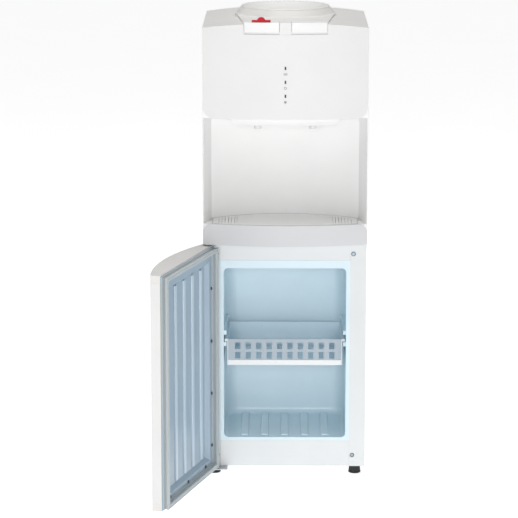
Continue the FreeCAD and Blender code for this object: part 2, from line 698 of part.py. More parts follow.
BASKET_TOP = "(basket_base_level + basket_height)"
BASKET_HALF = f"({OPENING_HALF} - basket_side_gap)"
BASKET_FRONT = f"({SEAL} + basket_setback)"
CARRY_LEVEL = f"({BASKET_TOP} - basket_rim_height - seat_gap - ledge_height / 2)"
PLATE_Y = (f"{SEAL} + liner_depth + liner_wall", f"{SEAL} + liner_depth + liner_wall + plate_thickness")
PLATE_MIDDLE = f"(({MOUTH_TOP} + {MOUTH_FOOT}) / 2 + plate_height / 4)"
FOAM_BACK = f"({SEAL} + liner_depth + liner_wall + foam_wall)"


def cabinet_foam():
    full = block("foam_full", both(INNER), (SHEET_Y[1], FOAM_BACK), (BASE_TOP, FRIDGE_TOP))
    hollow = soft_block(
        "foam_room", both(f"{OPENING_HALF} + liner_wall"), (SEAL, f"{SEAL} + liner_depth + liner_wall"),
        (f"{MOUTH_FOOT} - liner_wall", f"{MOUTH_TOP} + liner_wall"),
        ("liner_back_radius", Z_WAY, FAR), ("liner_mouth_radius", Y_WAY, ALL))
    plate = block("foam_plate_seat", both("plate_width / 2"), PLATE_Y,
                  (f"{PLATE_MIDDLE} - plate_height / 2", f"{PLATE_MIDDLE} + plate_height / 2"))
    return node(cut("cabinet_foam", full, hollow, plate))


def slotted(name, base, x_pitch, columns, y, rows):
    """A sheet with upright slots cut through it; rows lists the slots' (low, high) heights."""
    tools = []
    for level, z in enumerate(rows):
        for i in range(columns):
            x = f"({i} - {(columns - 1) / 2}) * {x_pitch}"
            ends = (f"{x} - basket_slot_width / 2", f"{x} + basket_slot_width / 2")
            tools.append(block(f"{name}_slot{level}_{i}", ends, y, z))
    return cut(name, base, *tools)


def basket():
    """An open tray with a lip across its front and a rim that rides on the carrying ledges."""
    back = f"({BASKET_FRONT} + basket_depth)"
    shell = soft_block("basket_shell", both(BASKET_HALF), (BASKET_FRONT, back), ("basket_base_level", BASKET_TOP),
                       ("basket_wall", Z_WAY, ALL))
    hollow = block("basket_hollow", both(f"{BASKET_HALF} - basket_wall"),
                   (f"{BASKET_FRONT} + basket_wall", f"{back} - basket_wall"),
                   ("basket_base_level + basket_wall", f"{BASKET_TOP} + basket_wall"))
    mouth = block("basket_mouth", both(f"{BASKET_HALF} - basket_wall"),
                  (f"{BASKET_FRONT} - basket_wall", f"{BASKET_FRONT} + 2 * basket_wall"),
                  ("basket_base_level + basket_lip_height", f"{BASKET_TOP} + basket_wall"))
    rims = []
    for hand in (-1, 1):
        ends = (f"{hand} * ({BASKET_HALF} - basket_wall / 2)", f"{hand} * ({BASKET_HALF} + basket_rim_reach)")
        rims.append(block(f"basket_rim{hand + 1}", ends if hand > 0 else ends[::-1],
                          (f"{BASKET_FRONT} + basket_wall", f"{back} - basket_rim_margin"),
                          (f"{BASKET_TOP} - basket_rim_height", BASKET_TOP)))
    tray = cut("basket_tray", fuse("basket_full", shell, *rims), hollow, mouth)
    floor_y = (f"{BASKET_FRONT} + basket_floor_margin", f"{back} - basket_floor_margin")
    floor_z = ("basket_base_level - basket_wall", "basket_base_level + 2 * basket_wall")
    return node(slotted("basket", tray, "basket_slot_pitch", int(size("basket_floor_slot_count")), floor_y, [floor_z]))


def basket_front():
    """The slotted wall that stands on the tray's lip, between its sides."""
    face = f"({BASKET_FRONT} + basket_front_setback)"
    foot = "(basket_base_level + basket_lip_height)"
    sheet = block("basket_front_sheet", both(f"{BASKET_HALF} - basket_wall - seat_gap"),
                  (face, f"{face} + basket_front_wall"), (foot, BASKET_TOP))
    rows = []
    for level in range(int(size("basket_slot_rows"))):
        low = f"({foot} + basket_slot_start + {level} * basket_row_pitch)"
        rows.append((low, f"{low} + basket_slot_height"))
    through = (f"{face} - basket_wall", f"{face} + 2 * basket_wall")
    return node(slotted("basket_front", sheet, "basket_slot_pitch", int(size("basket_slot_count")), through, rows))


liner()
cabinet_foam()
node(block("cabinet_evaporator", both("plate_width / 2"), PLATE_Y,
           (f"{PLATE_MIDDLE} - plate_height / 2", f"{PLATE_MIDDLE} + plate_height / 2")))
basket()
basket_front()

# ---------------------------------------------------------------- cabinet door, shut, then hung open
DOOR_HALF = f"({HALF} - door_side_gap)"
DOOR_LOW = "(foot_height + door_end_gap)"
DOOR_TOP = f"({FRIDGE_TOP} - door_end_gap)"
DOOR_BACK = f"({FRONT} + door_edge_depth)"
SKIN_Z = (f"{DOOR_LOW} + door_cap_height", f"{DOOR_TOP} - door_cap_height")
HINGE_AT = (f"(hinge_from_side - {HALF})", f"({FRONT} + hinge_depth)")
LINER_FACE = DOOR_BACK
LINER_BED = f"({DOOR_BACK} - door_liner_wall)"
BUSH_RADIUS = "(hinge_pin_radius + running_gap + bush_wall)"
SCREW_INSET = "gasket_width + door_screw_gap + door_screw_radius"
SCREW_X = f"(gasket_hinge_margin + {SCREW_INSET} - {DOOR_HALF})"
SCREW_Z = f"({DOOR_LOW} + gasket_margin + {SCREW_INSET})"


def door_form(name, inset, back, z):
    """The door's plan, drawn in by inset."""
    edge = block(name + "_edge", both(f"{DOOR_HALF} - ({inset})"), (NOSE, back), z)
    arc = rod(name + "_bow", "z", f"{BOW_RADIUS} - ({inset})", z, ("0", f"{NOSE} + {BOW_RADIUS}"))
    return common(name, edge, arc)


def door():
    skin = cut("door_skin", door_form("skin_full", "0", LINER_BED, SKIN_Z),
               door_form("skin_room", "door_sheet", DOOR_BACK, (f"{SKIN_Z[0]} - 1", f"{SKIN_Z[1]} + 1")))
    node(hang(skin))
    caps = (
        ("door_bottom_cap", (DOOR_LOW, SKIN_Z[0]), (f"{DOOR_LOW} + door_liner_wall", f"{SKIN_Z[0]} + 1")),
        ("door_top_cap", (SKIN_Z[1], DOOR_TOP), (f"{SKIN_Z[1]} - 1", f"{DOOR_TOP} - door_liner_wall")),
    )
    bushes = []
    for name, z, room_z in caps:
        full = door_form(name + "_full", "0", LINER_BED, z)
        room = door_form(name + "_room", "door_liner_wall", f"{LINER_BED} - door_liner_wall", room_z)
        boss = common(name + "_boss", full, rod(name + "_boss_rod", "z", f"{BUSH_RADIUS} + bush_wall", z, HINGE_AT))
        bore = rod(name + "_bore", "z", BUSH_RADIUS, (f"{z[0]} - 1", f"{z[1]} + 1"), HINGE_AT)
        node(hang(cut(name, fuse(name + "_shell", cut(name + "_tray", full, room), boss), bore)))
        bushes.append(tube(name + "_bush", "z", BUSH_RADIUS, "hinge_pin_radius + running_gap", z, HINGE_AT))
    node(hang(group("door_bushes", *bushes)))
    foam = cut("door_foam", door_form("door_foam_full", "door_sheet", LINER_BED, SKIN_Z),
               dish("door_foam_dish", "door_liner_wall"))
    node(hang(foam))
    node(hang(door_liner()))
    node(hang(gasket()))
    node(hang(door_screws()))


DISH_X = (f"({SCREW_X} + door_dish_side)", f"({DOOR_HALF} - gasket_margin - gasket_width - door_dish_latch)")
DISH_Z = (f"({SCREW_Z} + door_dish_foot)", f"({DOOR_TOP} - gasket_margin - gasket_width - door_dish_top)")


def spread(pair, reach):
    """A pair of formulas, each moved outwards by a reach."""
    return f"{pair[0]} - ({reach})", f"{pair[1]} + ({reach})"


def dish(name, wall):
    """The dish in the door liner, larger all round by a wall."""
    floor = f"({wall} - door_dish_slope)"
    return wedge(name, spread(DISH_X, floor), spread(DISH_X, wall),
                 (f"{LINER_FACE} - door_dish_depth - ({wall})", LINER_FACE),
                 spread(DISH_Z, floor), spread(DISH_Z, wall))


def door_liner():
    """A thin sheet with a dished middle and upright ribs on the dish's floor."""
    plate = block("door_liner_plate", both(f"{DOOR_HALF} - door_liner_margin"), (LINER_BED, LINER_FACE),
                  (f"{DOOR_LOW} + door_liner_margin", f"{DOOR_TOP} - door_liner_margin"))
    shell = cut("door_liner_shell", fuse("door_liner_full", plate, dish("door_dish_outer", "door_liner_wall")),
                dish("door_dish_inner", "0"))
    floor = f"({LINER_FACE} - door_dish_depth)"
    run = spread(DISH_Z, "0 - door_dish_slope - door_rib_margin")
    ribs = []
    count = int(size("door_rib_count"))
    for i in range(count):
        x = f"(({DISH_X[0]} + {DISH_X[1]}) / 2 + ({i} - {(count - 1) / 2}) * door_rib_pitch)"
        ribs.append(block(f"door_rib{i}", (f"{x} - door_rib_width / 2", f"{x} + door_rib_width / 2"),
                          (f"{floor} - door_liner_wall / 2", f"{floor} + door_rib_height"), run))
    return fuse("door_liner", shell, *ribs)


def ring(name, margin, width, y):
    """A rectangular ring on the door, its outside at the margin inside the gasket's own."""
    spans = []
    for step in ("0", width):
        inset = f"(({margin}) + ({step}))"
        spans.append(((f"gasket_hinge_margin + {inset} - {DOOR_HALF}", f"{DOOR_HALF} - gasket_margin - {inset}"),
                      (f"{DOOR_LOW} + gasket_margin + {inset}", f"{DOOR_TOP} - gasket_margin - {inset}")))
    outer = block(name + "_outer", spans[0][0], y, spans[0][1])
    inner = block(name + "_inner", spans[1][0], (f"{y[0]} - 1", f"{y[1]} + 1"), spans[1][1])
    return cut(name, outer, inner)


def gasket():
    """A magnetic seal: wide foot, narrow bellows, wide head that stops just short of the cabinet."""
    top = f"({SEAL} - seat_gap)"
    waist = "((gasket_width - gasket_neck) / 2)"
    foot = ring("gasket_base", "0", "gasket_width", (LINER_FACE, f"{LINER_FACE} + gasket_foot"))
    neck = ring("gasket_bellows", waist, "gasket_neck", (f"{LINER_FACE} + gasket_foot / 2", f"{top} - gasket_head / 2"))
    head = ring("gasket_magnet", f"{waist} / 2", f"gasket_width - {waist}", (f"{top} - gasket_head", top))
    return fuse("door_gasket", foot, neck, head)


def door_screws():
    """Screws of the door's liner, inside the gasket, up the hinge side and along the foot."""
    spots = [(SCREW_X, f"{SCREW_Z} + door_screw_start + {i} * door_screw_pitch") for i in range(4)]
    spots += [(f"door_screw_foot_middle + {i} * door_screw_foot_pitch", SCREW_Z) for i in (-1, 0, 1)]
    made = [screw(f"door_screw{i}", "door_screw_radius", "door_screw_height", at, LINER_FACE, 1)
            for i, at in enumerate(spots)]
    return group("door_screws", *made)


def hinges():
    """Steel plates on the cabinet with the door's two pins riveted in them."""
    low_z = ("foot_height - hinge_plate", "foot_height")
    high_z = (FRIDGE_TOP, f"{FRIDGE_TOP} + hinge_plate")
    nose = ("hinge_pin_radius", Z_WAY, NEAR)
    plates = [soft_block(name, HINGE_X, HINGE_Y, z, nose) for name, z in (("lower_plate", low_z), ("upper_plate", high_z))]
    low_pin = rod("lower_pin", "z", "hinge_pin_radius", ("foot_height", "foot_height + hinge_pin_length"), HINGE_AT)
    high_pin = rod("upper_pin", "z", "hinge_pin_radius", (f"{FRIDGE_TOP} - hinge_pin_length", FRIDGE_TOP), HINGE_AT)
    node(group("hinge_plates", *plates, low_pin, high_pin))


door()
hinges()


def pillar_screws():
    """Heads sunk in the side panels' flanges, so that the door's seal passes over them."""
    spots = [at for hand in (-1, 1) for at in pillar_spots(hand)]
    made = [screw(f"pillar_screw{i}", "pillar_screw_radius", "panel_sheet", at, f"{SEAL} + panel_sheet", -1)
            for i, at in enumerate(spots)]
    return node(group("pillar_screws", *made))


pillar_screws()

# ---------------------------------------------------------------- drip band, tray and grille
BAY_HALF = f"({HALF} - bay_cheek_width)"
BAY_RISE = "(bay_depth - bay_cheek_depth)"
BAY_RADIUS = f"(({BAY_HALF} * {BAY_HALF} + {BAY_RISE} * {BAY_RISE}) / (2 * {BAY_RISE}))"
BAY_AT = ("0", f"{FRONT} + bay_depth - {BAY_RADIUS}")
RECESS_FLOOR = f"({BAND_TOP} - tray_depth)"


def tray_plan(name, inset, z):
    """The drip tray's plan: bowed front, hollowed back, straight ends."""
    ends = block(name + "_ends", both(f"{HALF} - tray_margin - ({inset})"), (NOSE, f"{FRONT} + bay_depth"), z)
    bow = rod(name + "_bow", "z", f"{BOW_RADIUS} - tray_front_margin - ({inset})", z, ("0", f"{NOSE} + {BOW_RADIUS}"))
    back = rod(name + "_back", "z", f"{BAY_RADIUS} - tray_back_margin - ({inset})", z, BAY_AT)
    return common(name, ends, bow, back)


def band_form():
    """The band's outside: a bowed nose with round upper corners and a shelf that carries the bay."""
    z = (BAND_LOW, BAND_TOP)
    face = soft_block("band_face", both(HALF), (NOSE, SEAL), z,
                      ("band_corner_radius", Y_WAY, HIGH))
    nose = common("band_nose", bowed("band_nose_plan", "0", HALF, SEAL, z), face)
    shelf = block("band_shelf", both(INNER), (SEAL, f"{FRONT} + bay_depth + moulding_wall"), (DECK_TOP, BAND_TOP))
    return fuse("band_solid", nose, shelf)


def drip_band():
    room_top = f"{RECESS_FLOOR} - moulding_wall"
    under = fuse("band_under",
                 bowed("band_under_nose", "moulding_wall", f"{HALF} - moulding_wall", f"{SEAL} + 1",
                       (f"{BAND_LOW} - 1", room_top)),
                 block("band_under_shelf", both(f"{INNER} - moulding_wall"),
                       (SEAL, f"{FRONT} + bay_depth"), (f"{DECK_TOP} - 1", room_top)))
    recess = tray_plan("band_recess", "0", (RECESS_FLOOR, f"{BAND_TOP} + 1"))
    return node(cut("drip_band", BAND_FORM, under, recess))


def drip_tray():
    z = (f"{RECESS_FLOOR} + seat_gap", f"{BAND_TOP} - grille_thickness")
    full = tray_plan("tray_full", "slide_gap", z)
    room = tray_plan("tray_room", "slide_gap + tray_wall", (f"{z[0]} + tray_wall", f"{z[1]} + 1"))
    return node(cut("drip_tray", full, room))


def grille():
    z = (f"{BAND_TOP} - grille_thickness + seat_gap", f"{BAND_TOP} + seat_gap")
    full = tray_plan("grille_full", "slide_gap", z)
    through = (f"{z[0]} - 1", f"{z[1]} + 1")
    tools = []
    pitch, half = size("grille_slot_pitch"), size("grille_field_half")
    count = int(half // pitch)
    middle = f"{FRONT} + grille_field_depth"
    for i in range(-count, count + 1):
        x = f"{i} * grille_slot_pitch"
        reach = f"grille_slot_reach * {round(math.sqrt(1 - (i / (count + 1)) ** 2), 4)}"
        tools.append(block(f"grille_slot{i + count}",
                           (f"{x} - grille_slot_width / 2", f"{x} + grille_slot_width / 2"),
                           (f"{middle} - {reach}", f"{middle} + {reach}"), through))
    for hand in (-1, 1):
        for column in range(int(size("grille_hole_columns"))):
            for row in range(int(size("grille_hole_rows"))):
                x = f"{hand} * (grille_field_half + grille_hole_margin + {column + 1} * grille_hole_pitch)"
                y = f"{FRONT} + grille_hole_start + {row} * grille_hole_pitch"
                tools.append(rod(f"grille_hole{hand + 1}_{column}_{row}", "z", "grille_hole_radius", through, (x, y)))
    return node(cut("tray_grille", full, *tools))


BAND_FORM = band_form()
drip_band()
drip_tray()
grille()


# ---------------------------------------------------------------- dispensing bay
def bay_form(name, grow, z):
    """The bay's hollow: two leaning cheeks, then a round back wall, grown by a wall's thickness."""
    wide = f"({HALF} - panel_sheet + ({grow}) / 2)"
    narrow = f"({HALF} - bay_cheek_width + ({grow}))"
    cheeks = wedge(name + "_cheeks", both(wide), both(narrow), (FRONT, f"{FRONT} + bay_cheek_depth + seat_gap"), z)
    reach = block(name + "_reach", both(narrow), (f"{FRONT} + bay_cheek_depth", f"{FRONT} + bay_depth + ({grow})"), z)
    round_back = rod(name + "_round", "z", f"{BAY_RADIUS} + ({grow})", z, BAY_AT)
    return fuse(name, cheeks, common(name + "_back", reach, round_back))


def panel_form():
    """The front panel's outside: bowed plan, crowned top, round lower corners."""
    z = (PANEL_LOW, f"{CROWN_TOP} + 1")
    face = soft_block("panel_face", both(HALF), (NOSE, SEAL), z, ("panel_corner_radius", Y_WAY, LOW))
    return common("panel_solid", bowed("panel_plan", "0", HALF, SEAL, z), face,
                  crowned("panel_crown", "0", both(HALF), (NOSE, SEAL), PANEL_LOW))


def bay_panel():
    """The bay's walls and ceiling; its outer returns fill the round corners above and below."""
    z = (BAND_TOP, PANEL_LOW)
    returns = []
    corners = (("upper", "panel_corner_radius", (PANEL_LOW, f"{PANEL_LOW} + panel_corner_radius")),
               ("lower", "band_corner_radius", (f"{BAND_TOP} - band_corner_radius", BAND_TOP)))
    for hand in (-1, 1):
        ends = (f"{hand} * ({HALF} - moulding_wall)", f"{hand} * {HALF}")
        returns.append(block(f"bay_return{hand + 1}", ends if hand > 0 else ends[::-1], (FRONT, SEAL),
                             (f"{BAND_TOP} - band_corner_radius", f"{PANEL_LOW} + panel_corner_radius")))
        for name, reach, span in corners:
            ends = (f"{hand} * ({HALF} - {reach})", f"{hand} * {HALF}")
            returns.append(block(f"bay_{name}_corner{hand + 1}", ends if hand > 0 else ends[::-1], (FRONT, SEAL), span))
    ceiling = block("bay_ceiling", both(INNER), (SEAL, f"{FRONT} + bay_depth + moulding_wall"),
                    (PANEL_LOW, f"{PANEL_LOW} + moulding_wall"))
    outer = fuse("bay_outer", bay_form("bay_skin", "moulding_wall", z), ceiling, *returns)
    return node(cut("bay_panel", outer, bay_form("bay_room", "0", z), BAND_FORM, PANEL_FORM))


PANEL_FORM = panel_form()
bay_panel()


# ---------------------------------------------------------------- front panel, spouts and taps
TAP_Y = f"({FRONT} + tap_depth)"
VALVE_LOW = f"({PANEL_LOW} + moulding_wall)"
VALVE_TOP = f"({VALVE_LOW} + valve_height)"
PORT_Z = f"({VALVE_LOW} + port_level)"
PORT_END = f"({TAP_Y} + valve_radius + port_reach)"
KEY_TOP = PLATFORM_TOP
KEY_LOW = f"({PLATFORM_TOP} - key_height)"
KEY_BACK = f"({NOSE} + key_head_depth)"
KEY_X = {"hot": ("(0 - key_left)", "(0 - key_inner)"), "cold": ("key_inner", "key_right")}
KEY_WINDOW = ("0 - key_left - slide_gap", "key_right + slide_gap")
SILL = f"({KEY_LOW} - key_recess)"
SHAFT_AT = (f"({FRONT} + key_shaft_depth)", f"({KEY_TOP} - key_shaft_drop)")
SHAFT_REACH = "(shaft_lug_spacing + shaft_lug_width / 2)"
ARM_Z = (f"({SHAFT_AT[1]} - key_arm_height / 2)", f"({SHAFT_AT[1]} + key_arm_height / 2)")
TAPS = (("hot", -1), ("cold", 1))


def tap_at(hand):
    return f"{hand} * tap_spacing / 2", TAP_Y


def front_panel():
    """A bowed shell with a window for the keys, the wall behind their skirts and the divider between them."""
    z_room = (f"{PANEL_LOW} + moulding_wall", f"{CROWN_TOP} + 2")
    room_face = soft_block("panel_room_face", both(f"{HALF} - moulding_wall"), (NOSE, f"{SEAL} + 1"), z_room,
                           ("panel_corner_radius", Y_WAY, LOW))
    tools = [
        common("panel_room", bowed("panel_room_plan", "moulding_wall", HALF, f"{SEAL} + 1", z_room), room_face),
        block("key_window", KEY_WINDOW, (f"{NOSE} - 1", FRONT), (SILL, f"{CROWN_TOP} + 1")),
    ]
    for name, hand in TAPS:
        tools.append(rod(f"panel_{name}_hole", "z", "nozzle_radius", (f"{PANEL_LOW} - 1", f"{VALVE_LOW} + 1"), tap_at(hand)))
    for step in (-1, 0, 1):
        tools.append(lamp(f"lamp_hole{step + 1}", step, (f"{NOSE} - 1", f"{NOSE} + 2 * moulding_wall")))
    shell = cut("panel_shell", PANEL_FORM, *tools)
    wall_z = (f"{SILL} - recess_wall", f"{KEY_LOW} + slide_gap")
    rear = bowed("recess_rear", "moulding_wall + recess_wall", HALF, FRONT, (f"{wall_z[0]} - 1", f"{wall_z[1]} + 1"))
    front = bowed("recess_plan", "moulding_wall - seat_gap", HALF, SEAT_Y, wall_z)
    bar = block("recess_bar", KEY_WINDOW, (NOSE, f"{FRONT} - slide_gap"), wall_z)
    wall = cut("recess_back", common("recess_front", front, bar), rear)
    divider_z = (f"{SILL} - recess_wall / 2", KEY_TOP)
    divider = common("divider", bowed("divider_plan", "seat_gap", HALF, KEY_BACK, divider_z),
                     block("divider_bar", both("key_inner - slide_gap"), (NOSE, KEY_BACK), divider_z))
    return node(fuse("front_panel", shell, wall, divider))


def lamp(name, step, y):
    z = f"({PANEL_TOP} - lamp_drop + {step} * lamp_pitch)"
    return block(name, both("lamp_width / 2"), y, (f"{z} - lamp_height / 2", f"{z} + lamp_height / 2"))


def lamps():
    """Three lenses on a circuit board."""
    deep = f"({NOSE} + 2 * moulding_wall)"
    for step, name in ((1, "red_lamp"), (0, "yellow_lamp"), (-1, "green_lamp")):
        node(lamp(name, step, (f"{NOSE} - seat_gap", deep)))
    middle = f"({PANEL_TOP} - lamp_drop)"
    node(block("indicator_board", both("board_width / 2"), (deep, f"{deep} + board_thickness"),
               (f"{middle} - board_height / 2", f"{middle} + board_height / 2")))


def spouts():
    """A shallow bar under the front panel and the two nozzles that pass through it."""
    z = (f"{PANEL_LOW} - cover_height", PANEL_LOW)
    back = f"({FRONT} + bay_cheek_depth)"
    body = soft_block("cover_block", both("cover_half_width"), (NOSE, back), z, ("cover_corner_radius", Y_WAY, LOW))
    tools = [bowed("cover_room", "cover_setback + moulding_wall", "cover_half_width - moulding_wall",
                   f"{back} - moulding_wall", (f"{z[0]} + moulding_wall", f"{z[1]} + 1"))]
    nozzles = []
    for name, hand in TAPS:
        tools.append(rod(f"cover_{name}_hole", "z", "nozzle_radius", (f"{z[0]} - 1", f"{z[1]} + 1"), tap_at(hand)))
        nozzles.append(tube(f"{name}_nozzle", "z", "nozzle_radius", "nozzle_bore_radius",
                            (f"{z[0]} - nozzle_drop", VALVE_LOW), tap_at(hand)))
    node(group("nozzles", *nozzles))
    node(cut("spout_cover", common("cover_full", body, bowed("cover_plan", "cover_setback", HALF, back, z)), *tools))


def valves():
    """Two spring-loaded taps and the push rods between them and the keys."""
    socket_low = f"({VALVE_TOP} - rod_socket)"
    made = []
    for name, hand in TAPS:
        at = tap_at(hand)
        barrel = rod(f"{name}_barrel", "z", "valve_radius", (VALVE_LOW, VALVE_TOP), at)
        port = rod(f"{name}_port", "y", "hose_radius", (f"{TAP_Y} + valve_radius / 2", PORT_END), (at[0], PORT_Z))
        socket = rod(f"{name}_socket", "z", "rod_radius + running_gap", (socket_low, f"{VALVE_TOP} + 1"), at)
        made.append(cut(f"{name}_valve", fuse(f"{name}_valve_full", barrel, port), socket))
        node(rod(f"{name}_push_rod", "z", "rod_radius", (f"{socket_low} + rod_travel", f"{ARM_Z[0]} - seat_gap"), at))
    node(group("tap_valves", *made))


def key(name, hand):
    """A lever: a hollow head with a hanging skirt, an arm under the lid's platform and a hub on the shaft."""
    left, right = KEY_X[name]
    tall = (KEY_LOW, KEY_TOP)
    head = common(f"{name}_head", bowed(f"{name}_head_plan", "0", HALF, KEY_BACK, tall),
                  block(f"{name}_head_bar", (left, right), (NOSE, KEY_BACK), tall))
    low = (f"{KEY_LOW} - 1", f"{KEY_LOW} + key_skirt")
    under = (f"{KEY_LOW} - 2", f"{KEY_TOP} - key_wall")
    room_bar = block(f"{name}_room_bar", (f"{left} + key_wall", f"{right} - key_wall"), (NOSE, f"{KEY_BACK} + 1"), under)
    room = common(f"{name}_room", bowed(f"{name}_room_plan", "key_wall", HALF, f"{KEY_BACK} - key_wall", under), room_bar)
    shell = cut(f"{name}_shell", head, room, bowed(f"{name}_skirt_room", "key_wall", HALF, FRONT, low))
    tap_x = tap_at(hand)[0]
    wide = (f"({tap_x} - key_arm_width / 2)", f"({tap_x} + key_arm_width / 2)")
    arm = block(f"{name}_arm", wide, (f"{KEY_BACK} - 2 * key_wall", SHAFT_AT[0]), ARM_Z)
    hub = rod(f"{name}_hub", "x", "key_shaft_radius + running_gap + key_hub_wall", wide, SHAFT_AT)
    bore = rod(f"{name}_bore", "x", "key_shaft_radius + running_gap", (f"{wide[0]} - 1", f"{wide[1]} + 1"), SHAFT_AT)
    return node(cut(f"{name}_key", fuse(f"{name}_key_full", shell, arm, hub), bore))


def child_lock():
    """A slider on the hot key: a low bar with a bell-shaped grip."""
    front = f"({NOSE} + lock_setback)"
    y = (front, f"{front} + lock_depth")
    low = f"({KEY_TOP} + seat_gap)"
    x = ("0 - lock_from_centre - lock_width / 2", "0 - lock_from_centre + lock_width / 2")
    bar = block("lock_bar", x, y, (low, f"{low} + lock_height"))
    keep = block("lock_keep", x, y, (low, f"{low} + 2 * lock_bump_radius"))
    bump = rod("lock_bump", "y", "lock_bump_radius", y, ("0 - lock_from_centre", f"{low} + lock_bump_radius / 8"))
    return node(fuse("child_lock", bar, common("lock_grip", bump, keep)))


front_panel()
lamps()
spouts()
valves()
key("hot", -1)
key("cold", 1)
child_lock()
node(rod("key_shaft", "x", "key_shaft_radius", both(SHAFT_REACH), SHAFT_AT))


# ---------------------------------------------------------------- lid and bottle seat
CONE_TOP = f"({PLATFORM_TOP} + boss_cone_height)"
SEAT_AT = ("0", SEAT_Y)


def platform(name, inset, z):
    """The raised platform's plan: a disc round the bottle seat and an apron to the keys' outer ends."""
    disc = rod(name + "_disc", "z", f"boss_radius - ({inset})", z, SEAT_AT)
    near = (f"0 - key_left - apron_margin + ({inset})", f"key_right + apron_margin - ({inset})")
    far = both(f"boss_radius * apron_share - ({inset})")
    return disc, wedge(name + "_apron", near, far, (f"{FRONT} + ({inset})", SEAT_Y), z)


def lid():
    """A crowned cover with a raised platform that runs from the keys to a cone round the bottle seat."""
    wall = "moulding_wall"
    plan_z = (LID_LOW, f"{CROWN_TOP} + 1")
    plan = fuse("lid_plan", bowed("lid_front", wall, f"{HALF} - {wall}", f"{SEAL} + 1", plan_z),
                block("lid_rear", both(HALF), (SEAL, BACK), plan_z))
    outer = common("lid_outer", plan, crowned("lid_crown_form", "0", both(HALF), (NOSE, BACK), LID_LOW))
    under = f"{LID_LOW} - 1"
    room_z = (under, f"{CROWN_TOP} + 2")
    room_plan = fuse("lid_room_plan", bowed("lid_room_front", f"2 * {wall}", f"{HALF} - 2 * {wall}", f"{SEAL} + 2", room_z),
                     block("lid_room_rear", both(INNER), (f"{SEAL} + 1", f"{BACK} - {wall}"), room_z))
    under_top = f"{PLATFORM_TOP} - {wall}"
    cone_rise = cone("lid_cone", "z", "boss_cone_radius", "boss_top_radius", (PLATFORM_TOP, CONE_TOP), SEAT_AT)
    solid = fuse("lid_solid", outer, *platform("lid_platform", "0", (f"{PLATFORM_TOP} - platform_depth", PLATFORM_TOP)), cone_rise)
    tools = [
        common("lid_room", room_plan, crowned("lid_room_crown", wall, both(HALF), (NOSE, BACK), under)),
        *platform("lid_platform_room", wall, (under, under_top)),
        rod("lid_bore", "z", "seat_radius - 2 * seat_wall", (under, f"{CONE_TOP} + 1"), SEAT_AT),
        block("lid_key_well", KEY_WINDOW, (f"{NOSE} - 1", FRONT), (under, f"{PLATFORM_TOP} + 1")),
        block("lid_platform_mouth", (f"{KEY_WINDOW[0]} + 2", f"{KEY_WINDOW[1]} - 2"),
              (f"{FRONT} - 1", f"{FRONT} + 2 * {wall}"), (under, under_top)),
    ]
    pieces = [cut("lid_shell", solid, *tools)]
    for step in (-1, 0, 1):
        x = f"{step} * shaft_lug_spacing"
        pieces.append(block(f"shaft_lug{step + 1}", (f"{x} - shaft_lug_width / 2", f"{x} + shaft_lug_width / 2"),
                            (f"{SHAFT_AT[0]} - 3 * key_shaft_radius", f"{SHAFT_AT[0]} + 3 * key_shaft_radius"),
                            (f"{SHAFT_AT[1]} - 3 * key_shaft_radius", f"{PLATFORM_TOP} - {wall} / 2")))
    bore = rod("shaft_bore", "x", "key_shaft_radius", both(f"{SHAFT_REACH} + 1"), SHAFT_AT)
    return node(cut("lid", fuse("lid_with_lugs", *pieces), bore))


def bottle_seat():
    """A dished ring that takes the bottle's shoulder, with a throat for its neck."""
    top = "seat_rim_height"
    dish = f"({top} - seat_dish_depth)"
    plug = "(seat_radius - 2 * seat_wall - seat_gap)"
    under = f"{dish} - seat_wall * 1.6"
    outline = (
        ("seat_bore_radius", dish),
        ("seat_dish_radius", dish),
        ("seat_radius - 2 * seat_wall", top),
        ("seat_radius - seat_wall / 2", top),
        ("seat_radius", f"{top} * 0.6"),
        ("seat_radius", "0"),
        (plug, "0"),
        (plug, "0 - seat_wall"),
        ("seat_dish_radius", under),
        ("seat_bore_radius + seat_wall", under),
        ("seat_bore_radius + seat_wall", "0 - seat_throat_depth"),
        ("seat_bore_radius", "0 - seat_throat_depth"),
    )
    return node(turned("bottle_seat", outline, *SEAT_AT, CONE_TOP))


TANK_LOW = f"({PANEL_LOW} + cold_tank_over_panel)"
TANK_TOP = f"({TANK_LOW} + cold_tank_height)"


def probe():
    """The hollow spike that opens the bottle's cap; its foot stands on the cold tank."""
    tip = f"({CONE_TOP} - {TANK_TOP} - seat_dish_depth / 2)"
    foot = "(seat_bore_radius - probe_foot_margin)"
    outline = (
        ("probe_bore_radius", "0"),
        (foot, "0"),
        (foot, "probe_foot_height"),
        ("probe_radius", "2 * probe_foot_height"),
        ("probe_radius", f"{tip} - probe_tip"),
        ("probe_bore_radius + 1", tip),
        ("probe_bore_radius", tip),
    )
    return node(turned("bottle_probe", outline, *SEAT_AT, TANK_TOP))


lid()
bottle_seat()
probe()


# ---------------------------------------------------------------- tanks and hoses
HOT_AT = (f"(hot_tank_from_side - {HALF})", f"({REAR} - hot_tank_from_rear)")
HOT_LOW = f"({DECK_TOP} + hot_tank_stand)"
HOT_TOP = f"({HOT_LOW} + hot_tank_height)"
WRAP_LOW = f"({TANK_LOW} - cold_foam_wall)"
FEED_AT = ("0 - feed_from_centre", f"({SEAT_Y} + feed_from_centre)")
DROP_AT = ("0 - cold_tank_radius - cold_foam_wall - 3 * hose_radius", f"({HOT_AT[1]} - hot_tank_radius / 2)")
RISE_AT = ("riser_from_centre", f"({SEAT_Y} + riser_depth)")


def centre(name):
    """The middle of a built solid's box."""
    return doc.getObject(name).Shape.BoundBox.Center


